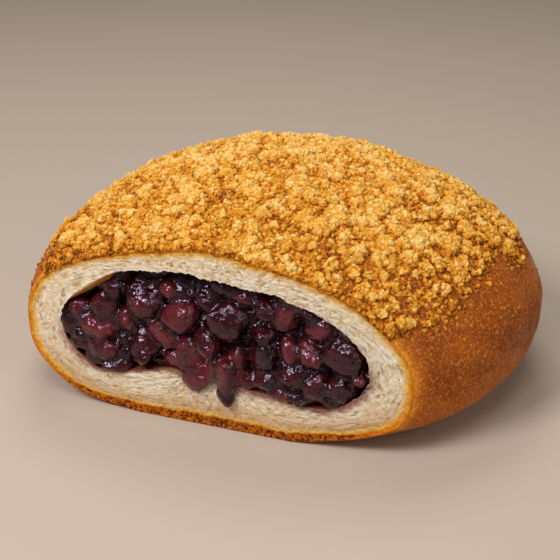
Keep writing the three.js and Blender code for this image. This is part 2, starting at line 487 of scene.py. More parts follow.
@dataclass(frozen=True)
class MeshMaker:
    """Turns arrays of points and faces into pieces that ride with the bun."""

    placement: Placement

    def piece(
        self,
        name: str,
        points: Array,
        faces: list[Faces],
        material: bpy.types.Material,
        slot: Slot,
        node: Node,
        values: dict[str, Array],
        smooth: bool = True,
    ) -> bpy.types.Object:
        """Makes a mesh object.

        Args:
            name: the piece's name.
            points: its vertices, in millimetres.
            faces: index arrays, each for faces with the same number of corners.
            material: its finish.
            slot: not used.
            node: the node that it stands for.
            values: per-vertex values or vectors that the material reads.
            smooth: whether its faces are shaded as one round surface.

        Returns:
            The object, riding on the bun's body.
        """
        mesh = bpy.data.meshes.new(name)
        corners = np.concatenate([f.ravel() for f in faces]).astype(np.int32)
        sizes = np.concatenate([np.full(len(f), f.shape[1]) for f in faces])
        starts = np.concatenate([[0], np.cumsum(sizes)[:-1]]).astype(np.int32)
        mesh.vertices.add(len(points))
        mesh.vertices.foreach_set("co", self.placement.metres(points).ravel().astype(np.float32))
        mesh.loops.add(len(corners))
        mesh.loops.foreach_set("vertex_index", corners)
        mesh.polygons.add(len(sizes))
        mesh.polygons.foreach_set("loop_start", starts)
        mesh.polygons.foreach_set("use_smooth", np.full(len(sizes), smooth))
        mesh.update(calc_edges=True)
        for key, value in values.items():
            kind, part = ("FLOAT", "value") if value.ndim == 1 else ("FLOAT_VECTOR", "vector")
            attribute = mesh.attributes.new(key, kind, "POINT")
            attribute.data.foreach_set(part, value.ravel().astype(np.float32))
        mesh.materials.append(material)
        piece = bpy.data.objects.new(name, mesh)
        bpy.context.scene.collection.objects.link(piece)
        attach(piece, "root")
        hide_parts(node.value)
        return piece


def tube_faces(rings: Faces) -> Faces:
    """Quads between rings of vertices, each of which meets itself.

    Args:
        rings: vertex numbers, rings by places round a ring.

    Returns:
        The quads.
    """
    turned = np.roll(rings, -1, axis=1)
    quads = [rings[:-1], turned[:-1], turned[1:], rings[1:]]
    return np.stack(quads, axis=-1).reshape(-1, 4)


def fan_faces(ring: Faces, middle: int) -> Faces:
    """Triangles from a ring of vertices to one in its middle."""
    return np.stack([ring, np.roll(ring, -1), np.full(len(ring), middle)], axis=-1)


def closed_tube(rings: Array) -> tuple[Array, list[Faces]]:
    """A tube of rings, closed at each end by a fan to the end ring's middle.

    Args:
        rings: points, rings by places round a ring by 3.

    Returns:
        The points and the faces.
    """
    ends = np.stack([rings[0].mean(axis=0), rings[-1].mean(axis=0)])
    points = np.concatenate([rings.reshape(-1, 3), ends])
    numbers = np.arange(len(points) - 2).reshape(rings.shape[:2])
    front = fan_faces(numbers[0][::-1], len(points) - 2)
    rear = fan_faces(numbers[-1], len(points) - 1)
    return points, [tube_faces(numbers), np.concatenate([front, rear])]


# --- Finishes --------------------------------------------------------------

Socket = bpy.types.NodeSocket
Colour = tuple[float, float, float]
MIX_FIRST = 6
MIX_SECOND = 7
MIX_COLOUR = 2


def srgb(red: int, green: int, blue: int) -> Colour:
    """A colour given as the eye sees it, as light, by the usual curve for screens.

    Args:
        red: from 0 to 255.
        green: from 0 to 255.
        blue: from 0 to 255.

    Returns:
        Three shares from 0 to 1.
    """
    shares = np.array([red, green, blue]) / 255.0
    light = np.where(shares <= 0.04045, shares / 12.92, ((shares + 0.055) / 1.055) ** 2.4)
    return (float(light[0]), float(light[1]), float(light[2]))


class Finish:
    """A Principled material that is built up node by node."""

    def __init__(self, name: str) -> None:
        """Starts an empty material.

        Args:
            name: its name.
        """
        self.material = bpy.data.materials.new(name)
        self.material.use_nodes = True
        self.tree = self.material.node_tree
        self.shader = self.tree.nodes["Principled BSDF"]

    def add(self, kind: str, **settings: object) -> bpy.types.Node:
        """Adds a node.

        Args:
            kind: its type.
            settings: its properties.

        Returns:
            The node.
        """
        node = self.tree.nodes.new(kind)
        for key, value in settings.items():
            setattr(node, key, value)
        return node

    def feed(self, target: Socket, source: Socket | float | Colour) -> None:
        """Links a socket to another, or gives it a value.

        Args:
            target: the socket.
            source: what it gets.
        """
        if isinstance(source, bpy.types.NodeSocket):
            self.tree.links.new(source, target)
        elif isinstance(source, tuple) and len(target.default_value) == 4:
            target.default_value = (*source, 1.0)
        else:
            target.default_value = source

    def set(self, name: str, source: Socket | float | Colour) -> None:
        """Feeds one of the shader's own sockets."""
        self.feed(self.shader.inputs[name], source)

    def place(self) -> Socket:
        """Object coordinates, in metres."""
        return self.add("ShaderNodeTexCoord").outputs["Object"]

    def upward(self, source: Socket) -> Socket:
        """A vector's part along Z.

        Args:
            source: the vector.

        Returns:
            The number.
        """
        node = self.add("ShaderNodeSeparateXYZ")
        self.feed(node.inputs["Vector"], source)
        return node.outputs["Z"]

    def value(self, name: str) -> Socket:
        """A per-vertex number of the piece."""
        return self.add("ShaderNodeAttribute", attribute_name=name).outputs["Fac"]

    def vector(self, name: str) -> Socket:
        """A per-vertex vector of the piece."""
        return self.add("ShaderNodeAttribute", attribute_name=name).outputs["Vector"]

    def noise(self, at: Socket, scale: float, detail: float = 3.0, rough: float = 0.55) -> Socket:
        """Cloudy noise.

        Args:
            at: the place.
            scale: features to a unit of the place.
            detail: how many finer layers it has.
            rough: how strong each is next to the last.

        Returns:
            A number, mostly from 0.25 to 0.75.
        """
        node = self.add("ShaderNodeTexNoise")
        self.feed(node.inputs["Vector"], at)
        node.inputs["Scale"].default_value = scale
        node.inputs["Detail"].default_value = detail
        node.inputs["Roughness"].default_value = rough
        return node.outputs["Fac"]

    def between(self, source: Socket, low: float, high: float) -> Socket:
        """A smooth rise from 0 at low to 1 at high.

        Args:
            source: the number.
            low: where it starts.
            high: where it ends, which may be the lesser.

        Returns:
            A share from 0 to 1.
        """
        node = self.add("ShaderNodeMapRange", interpolation_type="SMOOTHSTEP")
        self.feed(node.inputs["Value"], source)
        node.inputs["From Min"].default_value = low
        node.inputs["From Max"].default_value = high
        return node.outputs["Result"]

    def math(self, operation: str, first: Socket | float, second: Socket | float) -> Socket:
        """One sum of two numbers.

        Args:
            operation: which sum.
            first: a number.
            second: a number.

        Returns:
            What it comes to.
        """
        node = self.add("ShaderNodeMath", operation=operation)
        self.feed(node.inputs[0], first)
        self.feed(node.inputs[1], second)
        return node.outputs["Value"]

    def total(self, *parts: tuple[Socket, float], plus: float = 0.0) -> Socket:
        """Numbers added up, each times a weight of its own.

        Args:
            parts: each number with its weight.
            plus: a fixed number that is added.

        Returns:
            The sum.
        """
        result = plus
        for source, weight in parts:
            result = self.math("ADD", self.math("MULTIPLY", source, weight), result)
        return result

    def mix(self, share: Socket, first: Socket | Colour, second: Socket | Colour) -> Socket:
        """A blend of two colours.

        Args:
            share: how much of the second.
            first: a colour.
            second: a colour.

        Returns:
            The blend.
        """
        node = self.add("ShaderNodeMix", data_type="RGBA")
        self.feed(node.inputs["Factor"], share)
        self.feed(node.inputs[MIX_FIRST], first)
        self.feed(node.inputs[MIX_SECOND], second)
        return node.outputs[MIX_COLOUR]

    def partly(
        self, share: Socket, most: float, first: Socket | Colour, second: Socket | Colour
    ) -> Socket:
        """A blend of two colours, of which the second is never more than a part."""
        return self.mix(self.math("MULTIPLY", share, most), first, second)

    def ramp(self, source: Socket, *stops: tuple[float, Colour]) -> Socket:
        """Colours along a number from 0 to 1.

        Args:
            source: the number.
            stops: each place with its colour.

        Returns:
            The colour.
        """
        node = self.add("ShaderNodeValToRGB")
        self.feed(node.inputs["Fac"], source)
        elements = node.color_ramp.elements
        while len(elements) < len(stops):
            elements.new(0.5)
        for element, (place, colour) in zip(elements, stops):
            element.position = place
            element.color = (*colour, 1.0)
        return node.outputs["Color"]

    def bump(self, height: Socket, depth_mm: float, under: Socket | None = None) -> Socket:
        """A surface relief.

        Args:
            height: its height, from 0 to 1.
            depth_mm: how deep it is.
            under: the relief that it lies on.

        Returns:
            The normal.
        """
        node = self.add("ShaderNodeBump")
        self.feed(node.inputs["Height"], height)
        node.inputs["Distance"].default_value = depth_mm * MM
        if under is not None:
            self.feed(node.inputs["Normal"], under)
        return node.outputs["Normal"]


@dataclass(frozen=True)
class BreadFinish:
    """Baked crust outside, cream crumb on the cut, a golden line between, and painted glow on the
    crust by the cut and high on the hollow's wall.
    """

    crumb_light: Colour = srgb(255, 246, 226)
    crumb_mid: Colour = srgb(247, 222, 186)
    crumb_shade: Colour = srgb(214, 176, 120)
    pore: Colour = srgb(188, 148, 88)
    tan: Colour = srgb(204, 152, 92)
    honey: Colour = srgb(246, 196, 104)
    gold: Colour = srgb(238, 166, 54)
    orange: Colour = srgb(200, 104, 12)
    toast: Colour = srgb(96, 40, 4)
    stain: Colour = srgb(146, 78, 76)
    amber_wall_and_glow: Colour = srgb(196, 120, 18)
    soaked: Colour = srgb(128, 62, 34)
    brown: Colour = srgb(184, 94, 10)
    dark: Colour = srgb(144, 62, 2)
    crust_edge_and_glow: Colour = srgb(224, 128, 14)
    speck: Colour = srgb(232, 160, 78)
    gloss: float = 0.18
    crust_relief: float = 0.4
    crumb_relief: float = 0.3
    softness: float = 0.2
    softness_reach: float = 0.005
    softness_colour: Colour = (1.0, 0.55, 0.25)

    def make(self) -> bpy.types.Material:
        """Builds the material.

        It reads millimetres from the crust, from the filling, behind the cut and
        above the ground.

        Returns:
            The material.
        """
        finish = Finish("baked_bread")
        crust, fine = self.crust(finish)
        crumb, relief = self.crumb(finish)
        is_crumb = finish.between(finish.value("crumb"), 0.3, 0.7)
        finish.set("Base Color", finish.mix(is_crumb, crust, crumb))
        dullness = finish.between(finish.noise(finish.place(), 260.0), 0.0, 1.0)
        finish.set("Roughness", finish.math("MAXIMUM", dullness, is_crumb))
        finish.set("Specular IOR Level", self.gloss)
        skin = finish.bump(fine, self.crust_relief)
        relief = finish.math("MULTIPLY", relief, is_crumb)
        finish.set("Normal", finish.bump(relief, self.crumb_relief, skin))
        finish.set("Subsurface Weight", self.softness)
        finish.set("Subsurface Scale", self.softness_reach)
        finish.set("Subsurface Radius", self.softness_colour)
        return finish.material

    def crust(self, finish: Finish) -> tuple[Socket, Socket]:
        """The crust: clouds of two browns, more orange low down, gold by the cut, where a band is
        painted orange as glow of light through the thin crust.

        Args:
            finish: the material.

        Returns:
            Its colour and its fine relief.
        """
        place = finish.place()
        cloud = finish.noise(place, 60.0, 4.0)
        fine = finish.noise(place, 1500.0, 5.0, 0.72)
        ragged = finish.noise(place, 300.0)
        behind = finish.total((ragged, 3.0), (finish.value("behind"), 1.0), plus=-1.5)
        low_down = finish.between(finish.value("height"), 22.0, 2.0)
        tone = finish.mix(finish.between(cloud, 0.34, 0.68), self.dark, self.brown)
        tone = finish.partly(low_down, 0.55, tone, self.orange)
        # painted glow: a band a few millimetres behind the cut, for light through the thin crust;
        # the rim itself keeps the crust's own gold
        tone = finish.mix(finish.between(behind, 3.1, -1.2), tone, self.crust_edge_and_glow)
        tone = finish.mix(finish.between(behind, 1.0, -0.8), tone, self.gold)
        tone = finish.partly(finish.between(fine, 0.5, 0.34), 0.5, tone, self.toast)
        tone = finish.partly(finish.between(fine, 0.5, 0.68), 0.75, tone, self.speck)
        return tone, fine

    def crumb(self, finish: Finish) -> tuple[Socket, Socket]:
        """The crumb: cream, drawn out along its grain, stained beside the filling.

        Towards the crust it turns tan low down, then honey, gold and brown. Inside
        the hollow it is the soaked wall, painted bright amber high up as glow of light through the
        thin bread.

        Args:
            finish: the material.

        Returns:
            Its colour and its fine relief.
        """
        place = finish.place()
        grain = finish.vector("grain")
        height = finish.value("height")
        wet = finish.value("wet")
        streak = finish.noise(grain, 0.8, 5.0, 0.65)
        mottle = finish.noise(place, 750.0, 4.0, 0.62)
        pores = finish.between(finish.noise(grain, 1.1, 3.0, 0.6), 0.42, 0.31)
        cloud = finish.noise(place, 160.0)
        speckle = finish.noise(place, 1500.0, 3.0, 0.65)
        wander = finish.noise(place, 380.0, 5.0, 0.65)
        soak = finish.noise(place, 420.0, 4.0, 0.6)
        low_down = finish.between(height, 19.0, 6.0)
        lowest = finish.between(height, 6.0, 1.5)
        toasted = finish.between(height, 9.0, 3.0)

        level = finish.total((streak, 0.4), (mottle, 0.55), (cloud, 0.2))
        tone = finish.ramp(
            level, (0.42, self.crumb_shade), (0.56, self.crumb_mid), (0.72, self.crumb_light)
        )
        tone = finish.partly(pores, 0.7, tone, self.pore)
        depth = finish.total((wander, -2.6), (speckle, -1.6), (finish.value("edge"), 1.0), plus=2.1)
        tinted = finish.math("MULTIPLY", finish.between(depth, 10.0, 1.4), low_down)
        tone = finish.partly(tinted, 0.88, tone, self.tan)
        depth = finish.total((low_down, -0.8), (lowest, -1.4), (depth, 1.0))
        tone = finish.mix(finish.between(depth, 2.9, 1.1), tone, self.honey)
        tone = finish.mix(finish.between(depth, 1.7, 0.6), tone, self.gold)
        burnt = finish.math("MULTIPLY", finish.between(speckle, 0.54, 0.44), toasted)
        outer = finish.mix(burnt, finish.mix(toasted, self.crust_edge_and_glow, self.orange), self.toast)
        tone = finish.mix(finish.between(depth, 1.0, 0.2), tone, outer)
        near_filling = finish.between(finish.total((soak, -6.0), (wet, 1.0)), 0.6, -2.6)
        stained = finish.math("MULTIPLY", near_filling, finish.between(height, 24.0, 13.0))
        tone = finish.partly(stained, 0.85, tone, self.stain)
        # painted glow: the upper wall is the soaked crumb painted bright amber, for light through
        # the thin bread
        wall = finish.mix(finish.between(height, 22.0, 16.0), self.amber_wall_and_glow, self.soaked)
        tone = finish.mix(finish.between(wet, -0.3, -0.6), tone, wall)
        return tone, finish.total((streak, 1.0), (mottle, 1.0), (pores, -1.0))


@dataclass(frozen=True)
class StreuselFinish:
    """Golden butter crumbs: tips painted pale as painted light, hollows painted orange-brown as
    painted shade.
    """

    pale: Colour = srgb(255, 217, 132)
    gold: Colour = srgb(248, 183, 60)
    deep: Colour = srgb(217, 127, 8)
    brown: Colour = srgb(104, 40, 0)
    dullness: float = 0.55
    gloss: float = 0.25
    relief: float = 0.6

    def make(self) -> bpy.types.Material:
        """Builds the material.

        It reads each crumb's tone, from 0 to 1, and a place's height over the crust,
        in millimetres. The height paints tops paler and hollows browner, as painted light and shade.
        in millimetres.

        Returns:
            The material.
        """
        finish = Finish("streusel_crumbs")
        place = finish.place()
        cloud = finish.noise(place, 70.0)
        fine = finish.noise(place, 1700.0, 4.0, 0.68)
        # painted light and shade: places high over the crust are painted paler, hollows browner
        painted_light_by_height = finish.between(finish.value("over"), -0.2, 2.2)
        low_down = finish.between(finish.upward(place), 0.049, 0.031)
        level = finish.total(
            (painted_light_by_height, 0.32),
            (low_down, -0.09),
            (finish.value("tone"), 0.26),
            (cloud, 0.25),
            (fine, 0.75),
        )
        tone = finish.ramp(
            level, (0.5, self.brown), (0.65, self.deep), (0.84, self.gold), (1.0, self.pale)
        )
        finish.set("Base Color", tone)
        finish.set("Roughness", self.dullness)
        finish.set("Specular IOR Level", self.gloss)
        finish.set("Normal", finish.bump(finish.noise(place, 1900.0, 4.0, 0.7), self.relief))
        return finish.material


@dataclass(frozen=True)
class BeanFinish:
    """Dark red beans under a glossy syrup; creases and places deep behind the cut are painted near
    black as painted shade.
    """

    syrup_and_shade: Colour = srgb(16, 2, 2)
    skin: Colour = srgb(56, 11, 13)
    flesh: Colour = srgb(98, 32, 34)
    sheen: Colour = srgb(228, 196, 236)
    dullness: float = 0.2
    gloss: float = 0.45
    film_weight: float = 0.45
    film_ior: float = 1.45
    film_dullness: float = 0.02
    film_relief: float = 0.85

    def make(self) -> bpy.types.Material:
        """Builds the material.

        It reads each bean's tone and how much of a crease a place is, both from 0 to
        1, and its distance behind the cut in millimetres. Creases and deep places are painted in the
        syrup's near-black as painted shade.
        1, and its distance behind the cut in millimetres.

        Returns:
            The material.
        """
        finish = Finish("beans_in_syrup")
        place = finish.place()
        cloud = finish.noise(place, 180.0, 4.0, 0.6)
        level = finish.total((finish.value("tone"), 0.5), (cloud, 1.0))
        tone = finish.ramp(level, (0.42, self.syrup_and_shade), (0.76, self.skin), (1.0, self.flesh))
        # painted shade: creases, partly real syrup, and places deep behind the cut are painted near
        # black
        sunk = finish.between(finish.value("behind"), 0.5, 4.5)
        crease_and_recess_shade = finish.math("MAXIMUM", finish.value("crease"), sunk)
        finish.set("Base Color", finish.mix(crease_and_recess_shade, tone, self.syrup_and_shade))
        finish.set("Roughness", self.dullness)
        finish.set("Specular IOR Level", self.gloss)
        finish.set("Specular Tint", self.sheen)
        finish.set("Coat Weight", self.film_weight)
        finish.set("Coat IOR", self.film_ior)
        finish.set("Coat Roughness", self.film_dullness)
        film = finish.bump(finish.noise(place, 400.0), self.film_relief)
        finish.set("Normal", film)
        finish.set("Coat Normal", film)
        return finish.material


# --- The bread -------------------------------------------------------------


@dataclass
class Bread:
    """The loaf: crust, cut face and the inside of the hollow, in one skin."""

    columns: int = 560
    outside_rows: int = 96
    rim_rows: int = 4
    face_rows: int = 42
    inside_rows: int = 34
    rim_radius: float = 0.4
    sunk: float = 0.32
    swells: tuple[tuple[float, float], ...] = ((0.32, 11.0), (0.13, 3.2), (0.06, 1.3))
    rear_start: float = 0.012
    even_below: float = 5.0
    even_at_cut: float = 4.0
    mouth_waves: tuple[tuple[float, float], ...] = ((0.25, 1.6), (0.3, 0.8))
    loop_length: float = 235.0
    grain_length: float = 1.9
    grain_width: float = 0.7
    fibre_height: float = 0.13
    hole_depth: float = 0.3
    fold_depth: float = 0.14
    fold_length: float = 5.0
    fold_width: float = 2.4
    face_sunk: float = 0.25
    wall_start: float = 0.4
    wall_run: float = 14.0
    past_crust: float = 6.0
    past_mouth: float = 9.0
    finish: BreadFinish = field(default_factory=BreadFinish)

    def build(self, maker: MeshMaker) -> list[bpy.types.Object]:
        """Makes the piece from its rings, back to front and then inwards.

        Args:
            maker: makes the piece.

        Returns:
            The one piece.
        """
        angle = full_circle(self.columns)
        outside = self.outside(angle)
        rim, face, edge, wet = self.face(angle)
        rings = np.concatenate([outside, rim, face, self.inside(angle)])
        points, faces = closed_tube(rings)
        values = self.values(rings, edge, wet, len(outside))
        values = {key: np.concatenate([v, v[:1], v[-1:]]) for key, v in values.items()}
        material = self.finish.make()
        return [maker.piece("bread", points, faces, material, Slot.BREAD, Node.BUN, values)]

    def outside(self, angle: Array) -> Array:
        """The crust, in slices from the rear to the cut.

        They are close together at the rear. The skin is then sunk by a gentle
        unevenness, a sum of noises, save on the ground and beside the cut.

        Args:
            angle: the columns' directions.

        Returns:
            The rings.
        """
        turn = np.linspace(self.rear_start, 1.0, self.outside_rows)[:, None]
        front = CUT_Y + self.rim_radius
        y = front + (CRUST.back() - front) * np.cos(turn * math.pi / 2.0)
        grid = loop_points(y, angle, LOAF.reach(y, angle))
        grid[..., 2] = np.maximum(grid[..., 2], 0.0)
        swell = np.full(grid.shape[:-1], -self.sunk)
        for seed, (height, size) in enumerate(self.swells, 1):
            swell += height * smooth_noise(grid / size, seed)
        off_ground = ease(grid[..., 2], 0.2, self.even_below)
        off_cut = ease(grid[..., 1], front, front + self.even_at_cut)
        return grid - grid_normals(grid) * (swell * off_ground * off_cut)[..., None]

    def face(self, angle: Array) -> tuple[Array, Array, Array, Array]:
        """The rounded rim and the cut face.

        The face runs straight from the crust to the hollow's mouth. Its relief is
        fibres, holes and folds that follow the loops.

        Args:
            angle: the columns' directions.

        Returns:
            The rim's and the face's rings, and for each of their rows and columns
            the distance from the crust and from the mouth.
        """
        cut = np.full((1, 1), CUT_Y)
        to_ground = LOOP_Z / np.maximum(-np.sin(angle), TINY)
        outer = np.minimum(LOAF.reach(cut, angle), to_ground)
        mouth = MOUTH.reach(cut, angle)
        for seed, (height, size) in enumerate(self.mouth_waves, 5):
            mouth = mouth + height * smooth_noise(self.wound(angle, mouth, size, size), seed)
        turn = np.linspace(0.15, 0.9, self.rim_rows)[:, None] * math.pi / 2.0
        rim_reach = outer - self.rim_radius * (1.0 - np.cos(turn))
        rim = loop_points(CUT_Y + self.rim_radius * (1.0 - np.sin(turn)), angle, rim_reach)
        share = np.linspace(0.0, 1.0, self.face_rows)[:, None]
        start = outer - self.rim_radius
        depth = (start - mouth) * share
        long, wide = self.grain_length, self.grain_width
        fibres = smooth_noise(self.wound(angle, depth, long, wide), 7)
        holes = smooth_noise(self.wound(angle, depth, 0.7 * long, 1.8 * wide), 8)
        folds = smooth_noise(self.wound(angle, depth, self.fold_length, self.fold_width), 9)
        relief = self.fibre_height * fibres - self.hole_depth * ease(holes, 0.5, 0.9)
        relief -= self.fold_depth * np.abs(folds)
        off_edges = ease(share, 0.0, 0.06) * ease(1.0 - share, 0.0, 0.05)
        y = CUT_Y + (self.face_sunk - relief) * off_edges
        face = loop_points(y, angle, start - depth)
        edge = np.concatenate([np.zeros(rim_reach.shape), depth + self.rim_radius])
        wet = start - mouth
        wet = np.concatenate([np.broadcast_to(wet, rim_reach.shape), wet - depth])
        return rim, face, edge, wet

    def wound(self, turn: Array, across: Array, length: float, width: float) -> Array:
        """Places for a noise that follows the loops without a seam.

        The direction is wound on a circle whose girth is the loop's length in units
        of the noise's length, and the distance across is the third coordinate.

        Args:
            turn: directions about the loop axis.
            across: distance across the loops.
            length: how long the noise's features are.
            width: how wide they are.

        Returns:
            The places.
        """
        radius = self.loop_length / length / FULL_TURN
        parts = [radius * np.cos(turn), radius * np.sin(turn), across / width]
        return np.stack(np.broadcast_arrays(*parts), axis=-1)

    def inside(self, angle: Array) -> Array:
        """The hollow's wall, from its mouth to its rear, close together at the mouth.

        Args:
            angle: the columns' directions.

        Returns:
            The rings.
        """
        share = np.linspace(0.0, 0.995, self.inside_rows)[:, None]
        near = self.wall_start + self.wall_run * share
        room = HOLLOW.back() - CUT_Y - near
        y = CUT_Y + near + room * np.sin(share * math.pi / 2.0) ** 3
        return loop_points(y, angle, HOLLOW_WALL.reach(y, angle))

    def values(self, rings: Array, edge: Array, wet: Array, outside: int) -> dict[str, Array]:
        """The numbers that the finish reads, one set for each vertex.

        Args:
            rings: all the rings.
            edge: the rim's and the face's distances from the crust.
            wet: their distances from the mouth.
            outside: how many rings come before them.

        Returns:
            The numbers, by their names.
        """
        face_end = outside + len(edge)
        crumb = np.ones(rings.shape[:2])
        crumb[: outside + self.rim_rows // 2] = 0.0
        from_crust = np.full(rings.shape[:2], self.past_crust)
        from_crust[outside:face_end] = edge
        from_crust[:outside] = 0.0
        from_mouth = CUT_Y - rings[..., 1]
        from_mouth[outside:face_end] = wet
        from_mouth[:outside] = self.past_mouth
        turn, _ = about_loop(rings[..., 0], rings[..., 2])
        grain = self.wound(turn, from_crust, self.grain_length, self.grain_width)
        return {
            "crumb": crumb.ravel(),
            "edge": from_crust.ravel(),
            "wet": from_mouth.ravel(),
            "behind": (rings[..., 1] - CUT_Y).ravel(),
            "height": rings[..., 2].ravel(),
            "grain": grain.reshape(-1, 3),
        }


# --- The streusel ----------------------------------------------------------

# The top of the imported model, over how much height points are eased below it, how far a
# crumb may stand out over the cut, and the power that makes small crumbs the commoner.
HEIGHT_LIMIT = 53.1
LIMIT_EASE = 0.25
OVERHANG = 0.5
SMALL_OFTENER = 1.8


@dataclass
class Crown:
    """A map of the dome's crown, flat as a disc.

    A place is (p, q): its direction is the plan angle, and its distance from the
    middle is the length of the walk down from the top of the dome.
    """

    lowest: float = 24.5
    profile_steps: int = 1500
    normal_step: float = 0.05

    def __post_init__(self) -> None:
        """Measures the walk from the top down a mean profile."""
        fall = np.linspace(0.0, 1.0, self.profile_steps) ** 2
        self.heights = CRUST.top - (CRUST.top - self.lowest) * fall
        radius = CRUST.radius * CRUST.share(self.heights)
        steps = np.hypot(np.diff(radius), np.diff(self.heights))
        self.walk = np.concatenate([[0.0], np.cumsum(steps)])
        self.reach = float(self.walk[-1])

    def surface(self, p: Array, q: Array) -> Array:
        """The loaf's points at places of the map."""
        height = np.interp(np.hypot(p, q), self.walk, self.heights)
        return LOAF.bend(CRUST.point(np.arctan2(q, p), height))

    def normals(self, p: Array, q: Array) -> Array:
        """Outward unit normals: the cross product of short steps along p and q.

        Args:
            p: places across the map.
            q: places along the map.

        Returns:
            One normal for each place.
        """
        step = self.normal_step
        along = self.surface(p + step, q) - self.surface(p - step, q)
        across = self.surface(p, q + step) - self.surface(p, q - step)
        return unit(np.cross(along, across))

    def cut_line(self, p: Array, behind: float) -> Array:
        """The q of the places that lie a distance behind the cut.

        Args:
            p: places across the map.
            behind: the distance.

        Returns:
            One q for each p.
        """

        def in_front(q: Array) -> Array:
            """Whether places of the map lie further forward than that."""
            return self.surface(p, q)[..., 1] < CUT_Y + behind

        _, line = halved(np.full(p.shape, -self.reach), np.zeros(p.shape), in_front)
        return line


@dataclass(frozen=True)
class Packing:
    """Lumps of one size packed side by side: the cells about scattered seeds.

    Each is level, with a round shoulder that falls to the crevice where its cell
    meets the next, and each has a height of its own.
    """

    size: float
    height: float
    shoulder: float
    seed: int
    lowest_share: float = 0.6
    middle: float = 0.63

    def relief(self, point: Array) -> Array:
        """Heights about a middle level.

        It is the root of 1 less the square of how far down the shoulder a place is,
        times the lump's own share of the full height.

        Args:
            point: places on the crust.

        Returns:
            One height for each.
        """
        _, margin, owner = cell_noise(point / self.size, self.seed)
        down = np.clip(1.0 - margin / self.shoulder, 0.0, 1.0)
        share = self.lowest_share + (1.0 - self.lowest_share) * owner
        return self.height * (np.sqrt(1.0 - down**2) * share - self.middle)


